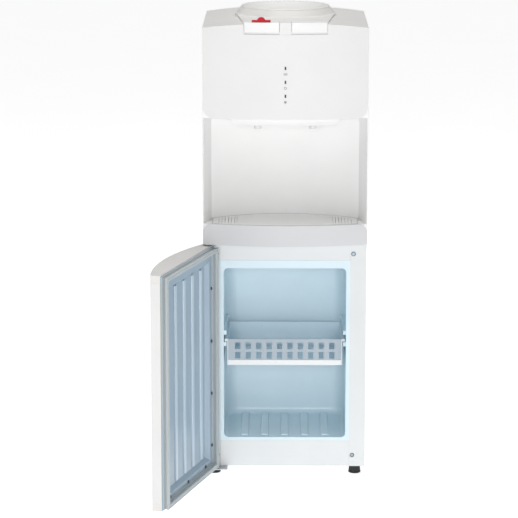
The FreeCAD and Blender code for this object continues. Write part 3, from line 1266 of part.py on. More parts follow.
def tank_shelf():
    """A sheet from side to side that carries the cold tank in its insulation."""
    z = (f"{WRAP_LOW} - panel_sheet", WRAP_LOW)
    full = block("shelf_full", both(INNER), (f"{FRONT} + bay_depth + moulding_wall", REAR_Y[0]), z)
    through = (f"{z[0]} - 1", f"{z[1]} + 1")
    bores = [rod(f"shelf_{name}_hole", "z", f"{radius} + slide_gap", through, at)
             for name, radius, at in (("feed", "hose_radius", FEED_AT), ("drop", "hose_radius", DROP_AT),
                                      ("riser", "pipe_radius", RISE_AT))]
    return node(cut("tank_shelf", full, *bores))


def cold_tank():
    """A steel can in a foam jacket that leaves room for the coil, with slots for its hoses and pipe."""
    can = rod("cold_can", "z", "cold_tank_radius", (TANK_LOW, TANK_TOP), SEAT_AT)
    room = rod("cold_can_room", "z", "cold_tank_radius - tank_wall",
               (f"{TANK_LOW} + tank_wall", f"{TANK_TOP} - tank_wall"), SEAT_AT)
    mouth = rod("cold_can_mouth", "z", "probe_bore_radius", (f"{TANK_TOP} - 2 * tank_wall", f"{TANK_TOP} + 1"), SEAT_AT)
    node(cut("cold_tank", can, room, mouth))
    wrap = rod("wrap_full", "z", "cold_tank_radius + cold_foam_wall", (WRAP_LOW, TANK_TOP), SEAT_AT)
    through = (f"{WRAP_LOW} - 1", f"{TANK_TOP} + 1")
    riser_x = (f"{RISE_AT[0]} - 2 * pipe_radius", f"{RISE_AT[0]} + 2 * pipe_radius")
    node(cut("cold_tank_foam", wrap,
             rod("wrap_room", "z", "cold_tank_radius + coil_room", (TANK_LOW, f"{TANK_TOP} + 1"), SEAT_AT),
             rod("wrap_hose", "y", "hose_radius", (FRONT, SEAT_Y), ("tap_spacing / 2", PORT_Z)),
             rod("wrap_feed", "z", "hose_radius", (f"{WRAP_LOW} - 1", f"{TANK_LOW} + 1"), FEED_AT),
             block("wrap_slot", riser_x, (SEAT_Y, RISE_AT[1]), through)))


def hot_tank():
    """A steel can on three legs, with a band heater and two thermostats."""
    can = cut("hot_can", rod("hot_can_full", "z", "hot_tank_radius", (HOT_LOW, HOT_TOP), HOT_AT),
              rod("hot_can_room", "z", "hot_tank_radius - tank_wall",
                  (f"{HOT_LOW} + tank_wall", f"{HOT_TOP} - tank_wall"), HOT_AT))
    legs = []
    for i in range(3):
        angle = math.radians(30 + 120 * i)
        at = (f"{HOT_AT[0]} + hot_tank_radius * {0.75 * math.cos(angle):.4f}",
              f"{HOT_AT[1]} + hot_tank_radius * {0.75 * math.sin(angle):.4f}")
        legs.append(rod(f"hot_leg{i}", "z", "pipe_radius", (DECK_TOP, HOT_LOW), at))
    node(fuse("hot_tank", can, *legs))
    middle = f"({HOT_LOW} + hot_tank_height / 3)"
    pieces = [tube("heater_band", "z", "hot_tank_radius + heater_wall", "hot_tank_radius",
                   (f"{middle} - heater_height / 2", f"{middle} + heater_height / 2"), HOT_AT)]
    for i in range(2):
        z = f"({HOT_TOP} - thermostat_radius * {1.5 + 2.5 * i})"
        disc = rod(f"thermostat_disc{i}", "y", "thermostat_radius",
                   (HOT_AT[1], f"{HOT_AT[1]} + hot_tank_radius + thermostat_depth"), (HOT_AT[0], z))
        seat = rod(f"thermostat_seat{i}", "z", "hot_tank_radius", (HOT_LOW, HOT_TOP), HOT_AT)
        pieces.append(cut(f"thermostat{i}", disc, seat))
    node(group("hot_tank_heater", *pieces))


def hoses():
    """Silicone hoses: cold tank to cold tap, hot tank to hot tap, cold tank to hot tank."""
    doc.recompute()
    cold = cut("cold_hose", rod("cold_hose_full", "y", "hose_radius", (PORT_END, SEAT_Y), ("tap_spacing / 2", PORT_Z)),
               rod("cold_hose_end", "z", "cold_tank_radius", (WRAP_LOW, TANK_TOP), SEAT_AT))
    radius, bend = size("hose_radius"), size("hose_bend")
    port = doc.getObject("hot_port").Shape.BoundBox
    drop, feed = centre("shelf_drop_hole"), centre("shelf_feed_hole")
    can, tank = doc.getObject("hot_can_full").Shape.BoundBox, doc.getObject("cold_can").Shape.BoundBox
    lead = port.YMax + size("hose_lead")
    level = port.Center.z
    hot = pipe("hot_hose", [(port.Center.x, port.YMax, level), (port.Center.x, lead, level), (drop.x, lead, level),
                            (drop.x, drop.y, level), (drop.x, drop.y, can.ZMax)], radius, bend)
    turn = (drop.z + can.ZMax) / 2
    end_x = can.Center.x + size("hot_tank_radius") / 2
    fill = pipe("feed_hose", [(feed.x, feed.y, tank.ZMin), (feed.x, feed.y, turn), (end_x, can.Center.y, turn),
                              (end_x, can.Center.y, can.ZMax)], radius, bend)
    return node(group("water_hoses", cold, hot, fill))


tank_shelf()
cold_tank()
hot_tank()
hoses()


# ---------------------------------------------------------------- rear panel and what it carries
ROCKERS = (("heating_switch", -1), ("cooling_switch", 1))
DISCHARGE_AT = ("condenser_half_width", "discharge_level")
ROCKER_Z = f"({PANEL_LOW} - rocker_drop)"
CAPILLARY_AT = ("0 - drier_from_centre", "capillary_level")
DRAIN_AT = (HOT_AT[0], f"({HOT_LOW} - drain_drop)")


def rocker_span(hand, grow):
    x = f"{hand} * rocker_spacing / 2"
    return ((f"{x} - rocker_width / 2 - ({grow})", f"{x} + rocker_width / 2 + ({grow})"),
            (f"{ROCKER_Z} - rocker_height / 2 - ({grow})", f"{ROCKER_Z} + rocker_height / 2 + ({grow})"))


def rear_panel():
    """A sheet up to the lid's underside, with holes for all that passes through it."""
    full = crowned("rear_sheet", "moulding_wall", both(INNER), REAR_Y, BASE_TOP)
    through = (f"{REAR_Y[0]} - 1", f"{REAR_Y[1]} + 1")
    tools = []
    for name, hand in ROCKERS:
        wide, tall = rocker_span(hand, "slide_gap")
        tools.append(block(f"{name}_hole", wide, through, tall))
    tools.append(block("inlet_hole", both("inlet_width / 2"), through,
                       ("inlet_level - inlet_height / 2", "inlet_level + inlet_height / 2")))
    for name, radius, at in (("drain", "drain_radius", DRAIN_AT), ("discharge", "pipe_radius + slide_gap", DISCHARGE_AT),
                             ("capillary", "capillary_radius + slide_gap", CAPILLARY_AT)):
        tools.append(rod(f"{name}_hole", "y", radius, through, at))
    return node(cut("rear_panel", full, *tools))


def rockers():
    """Two paddles that tip about a level axis in moulded frames on the rear panel."""
    frames = []
    for name, hand in ROCKERS:
        wide, tall = rocker_span(hand, "rocker_frame_wall")
        hole_x, hole_z = rocker_span(hand, "slide_gap")
        frame = block(f"{name}_frame_full", wide, (REAR, f"{REAR} + rocker_frame_wall"), tall)
        room = block(f"{name}_frame_room", hole_x, (f"{REAR} - 1", f"{REAR} + rocker_frame_wall + 1"), hole_z)
        frames.append(cut(f"{name}_frame", frame, room))
        paddle_x = rocker_span(hand, "0")[0]
        face = f"{REAR} + rocker_proud"
        drum = rod(f"{name}_drum", "x", "rocker_height / 2", paddle_x, (f"{face} - rocker_height / 2", ROCKER_Z))
        dish = rod(f"{name}_dish", "x", "rocker_hollow_radius", (f"{paddle_x[0]} - 1", f"{paddle_x[1]} + 1"),
                   (f"{face} - rocker_hollow + rocker_hollow_radius", ROCKER_Z))
        node(cut(name, drum, dish))
    node(group("switch_frames", *frames))


def power_inlet():
    """A three-blade appliance inlet."""
    tall = ("inlet_level - inlet_height / 2", "inlet_level + inlet_height / 2")
    inside = f"({REAR} - inlet_depth)"
    shell = block("inlet_shell", both("inlet_width / 2"), (inside, f"{REAR} + inlet_wall"), tall)
    hollow = block("inlet_hollow", both("inlet_width / 2 - inlet_wall"),
                   (f"{inside} + inlet_wall", f"{REAR} + inlet_wall + 1"), (f"{tall[0]} + inlet_wall", f"{tall[1]} - inlet_wall"))
    pieces = [cut("inlet_cup", shell, hollow)]
    for step in (-1, 0, 1):
        x = f"{step} * inlet_blade_spacing"
        z = f"inlet_level + {abs(step) * 2 - 1} * inlet_blade_height / 2"
        pieces.append(block(f"inlet_blade{step + 1}", (f"{x} - inlet_blade_width / 2", f"{x} + inlet_blade_width / 2"),
                            (f"{inside} + inlet_wall / 2", f"{REAR} - inlet_wall / 2"),
                            (f"{z} - inlet_blade_height / 2", f"{z} + inlet_blade_height / 2")))
    return node(fuse("power_inlet", *pieces))


def drain():
    """A spout from the hot tank's floor out of the rear panel, and the grooved cap on its end."""
    end = f"({REAR} + drain_reach)"
    run = rod("drain_run", "y", "drain_radius", (HOT_AT[1], end), DRAIN_AT)
    riser = rod("drain_riser", "z", "drain_radius - drain_wall", (DRAIN_AT[1], HOT_LOW), HOT_AT)
    bore = rod("drain_bore", "y", "drain_radius - drain_wall", (f"{REAR} - drain_reach", f"{end} + 1"), DRAIN_AT)
    node(cut("drain_spout", fuse("drain_full", run, riser), bore))
    cap_radius = "(drain_radius + running_gap + drain_cap_wall)"
    body = rod("cap_body", "y", cap_radius, (f"{REAR} + seat_gap", f"{end} + drain_cap_wall"), DRAIN_AT)
    tools = [rod("cap_room", "y", "drain_radius + running_gap", (REAR, f"{end} + seat_gap"), DRAIN_AT)]
    count = int(size("drain_grips"))
    for i in range(count):
        angle = 2 * math.pi * i / count
        at = (f"{DRAIN_AT[0]} + {cap_radius} * {math.cos(angle):.4f}", f"{DRAIN_AT[1]} + {cap_radius} * {math.sin(angle):.4f}")
        tools.append(rod(f"cap_grip{i}", "y", "drain_grip_radius", (REAR, f"{end} + 2 * drain_cap_wall"), at))
    node(cut("drain_cap", body, *tools))


rear_panel()
rockers()
power_inlet()
drain()


# ---------------------------------------------------------------- refrigeration
COMP_AT = ("compressor_from_centre", f"({REAR} - compressor_from_rear)")
COMP_LOW = f"({DECK_TOP} + mount_height)"
COMP_TOP = f"({COMP_LOW} + compressor_height)"
COIL_LOW = "condenser_base - condenser_overhang"
COIL_TOP = "condenser_base + (condenser_runs - 1) * condenser_pitch + condenser_overhang"
COIL_Y = f"({BACK} - back_recess / 2)"


def compressor():
    """A hermetic shell on a plate with four rubber mounts."""
    plate_top = f"({COMP_LOW} + compressor_plate)"
    reach = "compressor_radius * 0.85"
    plate = block("comp_plate", (f"{COMP_AT[0]} - {reach}", f"{COMP_AT[0]} + {reach}"),
                  (f"{COMP_AT[1]} - {reach}", f"{COMP_AT[1]} + {reach}"), (COMP_LOW, plate_top))
    skirt = rod("comp_skirt", "z", "compressor_radius * 0.7", (plate_top, f"{COMP_LOW} + compressor_height / 2"), COMP_AT)
    shell = soft_can("comp_shell", "compressor_radius", "compressor_round", (f"{plate_top} + compressor_plate", COMP_TOP), COMP_AT)
    node(fuse("compressor", shell, plate, skirt))
    mounts = []
    for sx, sy in ((-1, -1), (-1, 1), (1, -1), (1, 1)):
        at = tuple(f"{middle} + {side} * ({reach} - mount_radius)" for middle, side in zip(COMP_AT, (sx, sy)))
        mounts.append(rod(f"mount{len(mounts)}", "z", "mount_radius", (DECK_TOP, COMP_LOW), at))
    node(group("compressor_mounts", *mounts))


def serpentine(name, half, pitch, runs, base, radius, y):
    """A tube that runs to and fro across the cabinet, climbing a pitch at each turn."""
    reach = half - pitch / 2
    made = []
    for i in range(runs):
        side = 1 if i % 2 == 0 else -1
        z = base + i * pitch
        end = Vector(side * reach, y, z)
        made.append(Part.LineSegment(Vector(-side * reach, y, z), end).toShape())
        if i + 1 < runs:
            made.append(Part.Arc(end, Vector(side * half, y, z + pitch / 2), end + Vector(0, 0, pitch)).toShape())
    section = Part.Wire(Part.makeCircle(radius, Vector(-reach, y, base), X_WAY))
    obj = doc.addObject("Part::Feature", name)
    obj.Shape = Part.Wire(made).makePipeShell([section], True, True)
    return obj


def condenser():
    """A serpentine tube behind the rear panel, with upright wires on both of its sides and two straps."""
    made = [serpentine("condenser_tube", size("condenser_half_width"), size("condenser_pitch"), int(size("condenser_runs")),
                       size("condenser_base"), size("condenser_tube_radius"), centre("rear_sheet").y + CONDENSER_STEP)]
    count = int(size("condenser_wire_count"))
    for i in range(count):
        x = f"condenser_wire_half * {2 * i / (count - 1) - 1:.4f}"
        for side in (-1, 1):
            y = f"{COIL_Y} + {side} * (condenser_tube_radius + condenser_wire_radius)"
            made.append(rod(f"wire{i}_{side + 1}", "z", "condenser_wire_radius", (COIL_LOW, COIL_TOP), (x, y)))
    near = f"{COIL_Y} - condenser_tube_radius - 2 * condenser_wire_radius"
    for hand in (-1, 1):
        x = f"{hand} * condenser_wire_half / 2"
        made.append(block(f"condenser_strap{hand + 1}", (f"{x} - condenser_strap / 2", f"{x} + condenser_strap / 2"),
                          (REAR, near), (COIL_LOW, COIL_TOP)))
    return node(group("condenser", *made))


CONDENSER_STEP = (size("back_recess") + size("panel_sheet")) / 2


def refrigerant_pipes():
    """Copper: the coil on the cold tank, the suction and discharge pipes, the filter drier and its capillary."""
    doc.recompute()
    made = []
    for i in range(int(size("coil_turns"))):
        ring = doc.addObject("Part::Torus", f"coil_ring{i}")
        bind(ring, "Radius1", "cold_tank_radius + pipe_radius")
        bind(ring, "Radius2", "pipe_radius")
        made.append(place(ring, SEAT_AT[0], SEAT_AT[1], f"{TANK_LOW} + coil_start + {i} * coil_pitch"))
    doc.recompute()
    radius, bend = size("pipe_radius"), size("pipe_bend")
    comp = doc.getObject("comp_shell").Shape.BoundBox
    ring, riser = made[0].Shape.BoundBox, centre("shelf_riser_hole")
    level = (comp.ZMax + riser.z) / 2
    made.append(pipe("suction_pipe", [
        (riser.x, comp.Center.y, comp.ZMax), (riser.x, comp.Center.y, level), (riser.x, riser.y, level),
        (riser.x, riser.y, ring.Center.z), (riser.x, ring.Center.y + size("suction_end"), ring.Center.z)], radius, bend))
    out = centre("discharge_hole")
    tube_box = doc.getObject("condenser_tube").Shape.BoundBox
    coil_y = tube_box.Center.y
    top_run = tube_box.ZMax - size("condenser_tube_radius")
    end_x = size("condenser_half_width") - size("condenser_pitch") / 2
    start_x = comp.Center.x + size("discharge_from_middle")
    made.append(pipe("discharge_pipe", [
        (start_x, comp.Center.y, comp.ZMax), (start_x, comp.Center.y, out.z), (out.x, comp.Center.y, out.z),
        (out.x, coil_y, out.z), (out.x, coil_y, top_run), (end_x, coil_y, top_run)], radius, bend))
    thin = size("capillary_radius")
    back = centre("capillary_hole")
    base = size("condenser_base")
    made.append(pipe("liquid_pipe", [(-end_x, coil_y, base), (back.x, coil_y, base), (back.x, coil_y, size("drier_level"))],
                     radius, bend))
    drier_top = size("drier_level") + size("drier_height")
    made.append(soft_can("filter_drier", "drier_radius", "drier_radius / 2", ("drier_level", "drier_level + drier_height"),
                         (CAPILLARY_AT[0], COIL_Y)))
    made.append(pipe("capillary", [(back.x, coil_y, drier_top), (back.x, coil_y, back.z),
                                   (back.x, doc.getObject("cabinet_foam").Shape.BoundBox.YMax, back.z)], thin, bend / 3))
    return node(group("refrigerant_pipes", *made))


compressor()
condenser()
refrigerant_pipes()

# ---------------------------------------------------------------- check and write
doc.recompute()
faults = []
for obj in doc.Objects:
    if {"Invalid", "Error"} & set(obj.State):
        faults.append(f"{obj.Name}: {obj.State}")
for obj in NODES:
    if obj.Shape.isNull() or not obj.Shape.isValid() or not obj.Shape.Solids:
        faults.append(f"{obj.Label}: no valid solid")
if faults:
    raise RuntimeError("; ".join(faults))
os.makedirs("parts", exist_ok=True)
for obj in NODES:
    obj.Shape.exportStep(f"parts/{obj.Label}.step")
print(len(NODES), "sub-parts written")
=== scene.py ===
"""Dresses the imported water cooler: finishes, detailed pieces, light and the photograph's camera."""
import json
import math

import bmesh
import bpy
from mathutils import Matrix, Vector


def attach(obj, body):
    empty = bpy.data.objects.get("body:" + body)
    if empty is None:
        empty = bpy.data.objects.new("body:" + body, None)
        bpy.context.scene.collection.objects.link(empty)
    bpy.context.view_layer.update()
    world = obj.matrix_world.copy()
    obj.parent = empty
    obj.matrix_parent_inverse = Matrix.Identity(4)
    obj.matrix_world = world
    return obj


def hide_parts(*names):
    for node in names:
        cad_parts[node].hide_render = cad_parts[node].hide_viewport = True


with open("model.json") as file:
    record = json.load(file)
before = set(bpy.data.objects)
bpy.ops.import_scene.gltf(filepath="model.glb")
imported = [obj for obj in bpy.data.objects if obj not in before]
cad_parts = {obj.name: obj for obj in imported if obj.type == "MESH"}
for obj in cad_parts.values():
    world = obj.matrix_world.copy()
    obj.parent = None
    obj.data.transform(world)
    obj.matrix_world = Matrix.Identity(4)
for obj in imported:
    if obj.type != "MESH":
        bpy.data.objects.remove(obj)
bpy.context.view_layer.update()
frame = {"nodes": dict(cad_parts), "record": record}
NODES = frame["nodes"]
MM = 0.001


# ---------------------------------------------------------------- finishes, in metres
DRIFT_DETAIL, GRAIN_DETAIL, GLOSS_DETAIL, WAVE_DETAIL = 4.0, 2.0, 5.0, 1.0
GLOSS_PATCH = 12  # gloss drifts over patches this many times as wide as the grain
GLOSS_FLOOR = 0.02
WAVE_SCALE = 42.0
RAMP_STOPS = (0.3, 0.7)
COAT_ROUGHNESS = 0.08
MIX_FIRST, MIX_SECOND, MIX_RESULT = 6, 7, 2  # the mix node's colour sockets


def tree_of(name):
    made = bpy.data.materials.new(name)
    made.use_nodes = True
    tree = made.node_tree
    return made, tree, tree.nodes["Principled BSDF"]


def noise(tree, scale, detail, stretch=(1, 1, 1)):
    """A noise field in the object's own metres, stretched along an axis."""
    where = tree.nodes.new("ShaderNodeTexCoord")
    spread = tree.nodes.new("ShaderNodeMapping")
    spread.inputs["Scale"].default_value = stretch
    field = tree.nodes.new("ShaderNodeTexNoise")
    field.inputs["Scale"].default_value = scale
    field.inputs["Detail"].default_value = detail
    tree.links.new(where.outputs["Object"], spread.inputs["Vector"])
    tree.links.new(spread.outputs["Vector"], field.inputs["Vector"])
    return field.outputs["Fac"]


def ramp(tree, source, low, high):
    """A colour ramp between two colours or greys."""
    made = tree.nodes.new("ShaderNodeValToRGB")
    for stop, edge, tone in zip(made.color_ramp.elements, RAMP_STOPS, (low, high)):
        stop.position = edge
        stop.color = (*tone, 1) if isinstance(tone, tuple) else (tone, tone, tone, 1)
    tree.links.new(source, made.inputs["Fac"])
    return made.outputs["Color"]


def bump(tree, source, depth, below=None):
    """Relief of a depth in metres, laid over the relief below."""
    made = tree.nodes.new("ShaderNodeBump")
    made.inputs["Distance"].default_value = depth
    made.inputs["Strength"].default_value = 1.0
    tree.links.new(source, made.inputs["Height"])
    if below is not None:
        tree.links.new(below, made.inputs["Normal"])
    return made.outputs["Normal"]


def shade(base, factor):
    return tuple(min(1.0, channel * factor) for channel in base)


def finish(name, base, rough, *, metal=0.0, coat=0.0, mottle=0.02, mottle_scale=9.0, grain=900.0,
           grain_depth=0.00002, wave=0.0, spread=0.05, stretch=(1, 1, 1), clear=0.0, sheen=0.0,
           gloss=0.5):
    """A moulded, painted or metal surface with drifting colour, uneven gloss and fine relief."""
    made, tree, shader = tree_of(name)
    drift = noise(tree, mottle_scale, DRIFT_DETAIL)
    colour = ramp(tree, drift, shade(base, 1 - mottle), shade(base, 1 + mottle))
    tree.links.new(colour, shader.inputs["Base Color"])
    fine = noise(tree, grain, GRAIN_DETAIL, stretch)
    patches = noise(tree, grain / GLOSS_PATCH, GLOSS_DETAIL, stretch)
    uneven = ramp(tree, patches, max(rough - spread, GLOSS_FLOOR), min(rough + spread, 1.0))
    tree.links.new(uneven, shader.inputs["Roughness"])
    relief = bump(tree, fine, grain_depth)
    if wave:
        relief = bump(tree, noise(tree, WAVE_SCALE, WAVE_DETAIL), wave, relief)
    tree.links.new(relief, shader.inputs["Normal"])
    shader.inputs["Metallic"].default_value = metal
    shader.inputs["Coat Weight"].default_value = coat
    shader.inputs["Coat Roughness"].default_value = COAT_ROUGHNESS
    shader.inputs["Sheen Weight"].default_value = sheen
    shader.inputs["Specular IOR Level"].default_value = gloss
    shader.inputs["Transmission Weight"].default_value = clear
    return made


def brushed(base, rough, stretch=(1, 1, 1)):
    """What finish needs for bare metal, with its grain drawn out along an axis."""
    return dict(base=base, rough=rough, metal=1.0, mottle=0.05, mottle_scale=14.0, grain=700.0,
                grain_depth=0.00001, spread=0.1, stretch=stretch)


def lipped(made, body, edge):
    """Gives a finish a second colour behind an edge, in the object's own metres along Y."""
    tree = made.node_tree
    shader = tree.nodes["Principled BSDF"]
    lip = shader.inputs["Base Color"].links[0].from_socket
    where = tree.nodes.new("ShaderNodeTexCoord")
    split = tree.nodes.new("ShaderNodeSeparateXYZ")
    step = tree.nodes.new("ShaderNodeMapRange")
    step.inputs["From Min"].default_value = edge
    step.inputs["From Max"].default_value = edge + MM
    mix = tree.nodes.new("ShaderNodeMix")
    mix.data_type = "RGBA"
    tree.links.new(where.outputs["Object"], split.inputs["Vector"])
    tree.links.new(split.outputs["Y"], step.inputs["Value"])
    tree.links.new(step.outputs["Result"], mix.inputs["Factor"])
    tree.links.new(lip, mix.inputs[MIX_FIRST])
    drift = noise(tree, 9.0, DRIFT_DETAIL)
    tree.links.new(ramp(tree, drift, shade(body, 0.97), shade(body, 1.03)), mix.inputs[MIX_SECOND])
    tree.links.new(mix.outputs[MIX_RESULT], shader.inputs["Base Color"])


ALONG_X = (0.02, 1, 1)
ALONG_Z = (1, 1, 0.02)
LOOKS = {
    "sheet_white": dict(base=(0.765, 0.785, 0.79), rough=0.42, coat=0.12, grain=420.0, grain_depth=0.00003),
    "door_paint": dict(base=(0.79, 0.79, 0.785), rough=0.42, coat=0.12, grain=420.0, grain_depth=0.00003),
    "zinc_sheet": dict(base=(0.55, 0.57, 0.59), rough=0.38, metal=1.0, mottle=0.14, mottle_scale=60.0,
                       grain=500.0),
    "rear_sheet": dict(base=(0.40, 0.42, 0.43), rough=0.55, coat=0.1, grain=500.0, grain_depth=0.00005),
    "front_moulding": dict(base=(0.80, 0.80, 0.795), rough=0.45, coat=0.05, gloss=0.35),
    "lid_moulding": dict(base=(0.80, 0.79, 0.77), rough=0.42, coat=0.1, grain=1500.0, grain_depth=0.00004),
    # the drip band's moulding is a darker copy of the front moulding: painted shade on the curved band
    "band_shaded_moulding": dict(base=(0.665, 0.67, 0.685), rough=0.45, coat=0.05, gloss=0.35),
    # the bay's white is lighter than the front moulding's: painted light that lifts the shade in the recessed bay
    "bay_moulding": dict(base=(0.89, 0.89, 0.885), rough=0.55, gloss=0.2),
    "key_moulding": dict(base=(0.86, 0.86, 0.855), rough=0.4, coat=0.1),
    "tray_moulding": dict(base=(0.93, 0.925, 0.915), rough=0.45, grain=1500.0, grain_depth=0.00004),
    "lens_red": dict(base=(0.10, 0.012, 0.010), rough=0.3, coat=0.1, gloss=0.3),
    "lens_yellow": dict(base=(0.085, 0.06, 0.012), rough=0.3, coat=0.1, gloss=0.3),
    "lens_green": dict(base=(0.006, 0.06, 0.035), rough=0.3, coat=0.1, gloss=0.3),
    "lock_red": dict(base=(0.56, 0.010, 0.022), rough=0.5, mottle=0.05, gloss=0.2),
    # the nozzles' grey is darker than the white mouldings around them: painted shade under the spout cover
    "nozzle_moulding": dict(base=(0.70, 0.70, 0.69), rough=0.32, coat=0.2),
    "liner_blue": dict(base=(0.72, 0.86, 0.93), rough=0.34, coat=0.15, wave=0.00012, mottle=0.03),
    # the basket's white lip is a painted highlight on its front face, and the slotted wall's dark blue-grey is
    # painted shade
    "basket_lip_white": dict(base=(0.88, 0.90, 0.91), rough=0.32, coat=0.1),
    "basket_moulding": dict(base=(0.42, 0.49, 0.55), rough=0.34, coat=0.15, mottle=0.03),
    # the door liner's blue is darker than the pale blue plastic it is: painted shade on a face turned from the
    # light
    "door_liner_blue": dict(base=(0.36, 0.46, 0.55), rough=0.34, coat=0.15, wave=0.00012, mottle=0.03),
    # the door liner's ribs are a lighter copy of its blue: painted highlight on the rib edges
    "rib_highlight_blue": dict(base=(0.56, 0.67, 0.76), rough=0.34, coat=0.15, mottle=0.03),
    "gasket_grey": dict(base=(0.46, 0.51, 0.53), rough=0.6, grain=1600.0, grain_depth=0.00005, sheen=0.2),
    "door_cap_grey": dict(base=(0.79, 0.775, 0.755), rough=0.48, grain=1500.0, grain_depth=0.00005),
    "black_rubber": dict(base=(0.012, 0.012, 0.013), rough=0.62, mottle=0.3, grain=1300.0,
                         grain_depth=0.00008, sheen=0.15),
    "screw_steel": brushed((0.30, 0.36, 0.40), 0.3),
    "screw_dark": brushed((0.10, 0.12, 0.14), 0.4),
    "mark_grey": dict(base=(0.03, 0.03, 0.032), rough=0.6, grain=1500.0, gloss=0.2),
    "pin_steel": brushed((0.6, 0.6, 0.61), 0.2, ALONG_X),
    "bush_nylon": dict(base=(0.76, 0.76, 0.72), rough=0.4),
    "foam": dict(base=(0.72, 0.60, 0.32), rough=0.9, mottle=0.12, mottle_scale=120.0, grain=700.0,
                 grain_depth=0.0004),
    "tank_foam": dict(base=(0.85, 0.85, 0.84), rough=0.85, mottle=0.05, mottle_scale=200.0, grain=260.0,
                      grain_depth=0.0005),
    "copper": dict(base=(0.80, 0.36, 0.20), rough=0.3, metal=1.0, mottle=0.16, mottle_scale=40.0, spread=0.12),
    "evaporator_aluminium": brushed((0.74, 0.75, 0.76), 0.32, ALONG_X),
    "tank_steel": brushed((0.62, 0.62, 0.61), 0.26, ALONG_Z),
    "heater_steel": dict(base=(0.34, 0.30, 0.25), rough=0.42, metal=1.0, mottle=0.2, mottle_scale=50.0),
    "silicone": dict(base=(0.82, 0.82, 0.78), rough=0.38, clear=0.25),
    "compressor_black": dict(base=(0.014, 0.014, 0.016), rough=0.25, coat=0.6, mottle=0.2, wave=0.0001),
    "condenser_black": dict(base=(0.02, 0.02, 0.02), rough=0.45, mottle=0.25, grain_depth=0.00006),
    "board_green": dict(base=(0.012, 0.14, 0.05), rough=0.4, coat=0.3, mottle=0.15, mottle_scale=300.0),
    "frame_black": dict(base=(0.016, 0.016, 0.017), rough=0.5, grain=1500.0, grain_depth=0.00006),
    "switch_red": dict(base=(0.55, 0.02, 0.015), rough=0.25, coat=0.4),
    "switch_green": dict(base=(0.01, 0.30, 0.08), rough=0.25, coat=0.4),
    "drain_white": dict(base=(0.78, 0.78, 0.75), rough=0.4),
    "valve_white": dict(base=(0.80, 0.80, 0.78), rough=0.4),
    "probe_white": dict(base=(0.84, 0.84, 0.82), rough=0.25, coat=0.3),
}
FINISHES = {name: finish(name, **look) for name, look in LOOKS.items()}
# the basket's front lip is painted white as a painted highlight, over its blue body behind the edge
BASKET_BODY, BASKET_LIP_BACK = (0.66, 0.80, 0.88), -0.1040
lipped(FINISHES["basket_lip_white"], BASKET_BODY, BASKET_LIP_BACK)

# the drip band takes the darker copy of the front moulding, which paints shade on it
OTHER_LOOKS = {"door_screws": "screw_dark", "drip_band": "band_shaded_moulding", "spout_cover": "front_moulding"}
for row in frame["record"]["subparts"]:
    obj = NODES[row["node"]]
    obj.data.materials.clear()
    obj.data.materials.append(FINISHES[OTHER_LOOKS.get(row["node"], row["material_slot"])])


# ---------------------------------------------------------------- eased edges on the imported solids
WELD_REACH = 0.002  # mm
FLAT_ANGLE = 0.4  # degrees
EASE_ANGLE = 32.0  # degrees; sharper corners than this are eased
EASE_SEGMENTS = 2
SHEET_EDGE = 0.6  # mm
EDGES = {
    "drip_band": 1.2, "front_panel": 1.1, "lid": 0.8, "hot_key": 0.5, "cold_key": 0.5, "child_lock": 0.5,
    "spout_cover": 0.5, "bay_panel": 0.4, "door_skin": 0.3, "door_top_cap": 0.6, "door_bottom_cap": 0.6,
    "drip_tray": 0.4, "nozzles": 0.5, "cabinet_liner": 1.0, "hinge_plates": 0.3,
    "basket": 0.4, "basket_front": 0.35, "rear_panel": 0.3, "power_inlet": 0.3, "switch_frames": 0.3,
    "heating_switch": 0.4, "cooling_switch": 0.4, "drain_cap": 0.4,
}


def eased(node, width, flat=False):
    """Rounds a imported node's edges with modifiers; its own mesh stays as it is."""
    obj = NODES[node]
    weld = obj.modifiers.new("weld", "WELD")
    weld.merge_threshold = WELD_REACH * MM
    if flat:
        merged = obj.modifiers.new("flat", "DECIMATE")
        merged.decimate_type = "DISSOLVE"
        merged.angle_limit = math.radians(FLAT_ANGLE)
    bevel = obj.modifiers.new("bevel", "BEVEL")
    bevel.width = width * MM
    bevel.segments = EASE_SEGMENTS
    bevel.limit_method = "ANGLE"
    bevel.angle_limit = math.radians(EASE_ANGLE)
    bevel.harden_normals = flat
    bevel.miter_outer = "MITER_ARC"
    if not flat:
        even = obj.modifiers.new("even", "WEIGHTED_NORMAL")
        even.keep_sharp = False


for node, width in EDGES.items():
    eased(node, width)
for node in ("left_side_panel", "right_side_panel", "lower_front_panel", "cabinet_top_rail"):
    eased(node, SHEET_EDGE, flat=True)


# ---------------------------------------------------------------- pieces in mesh code, in millimetres
DOOR_OPEN = 107.0  # degrees
HINGE = (-142.0, -139.5)
SEAT = (0.0, 12.5)


def piece(name, verts, faces, slot, body, replaces=(), look=None, smooth=38.0):
    """A closed mesh with smooth faces, riding on a body."""
    mesh = bpy.data.meshes.new(name)
    mesh.from_pydata([tuple(value * MM for value in vert) for vert in verts], [], faces)
    shape = bmesh.new()
    shape.from_mesh(mesh)
    bmesh.ops.recalc_face_normals(shape, faces=shape.faces)
    shape.to_mesh(mesh)
    shape.free()
    mesh.shade_smooth()
    mesh.set_sharp_from_angle(angle=math.radians(smooth))
    mesh.materials.append(FINISHES[look or slot])
    obj = bpy.data.objects.new(name, mesh)
    bpy.context.scene.collection.objects.link(obj)
    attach(obj, body)
    if replaces:
        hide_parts(*replaces)
    return obj


def between(here, there, count):
    """The faces between two closed loops of vertices, given by the index of their first."""
    return [(here + k, here + (k + 1) % count, there + (k + 1) % count, there + k) for k in range(count)]


def ends(loops, count):
    """The two faces that close a run of loops."""
    return [tuple(range(count)), tuple((loops - 1) * count + k for k in range(count))]


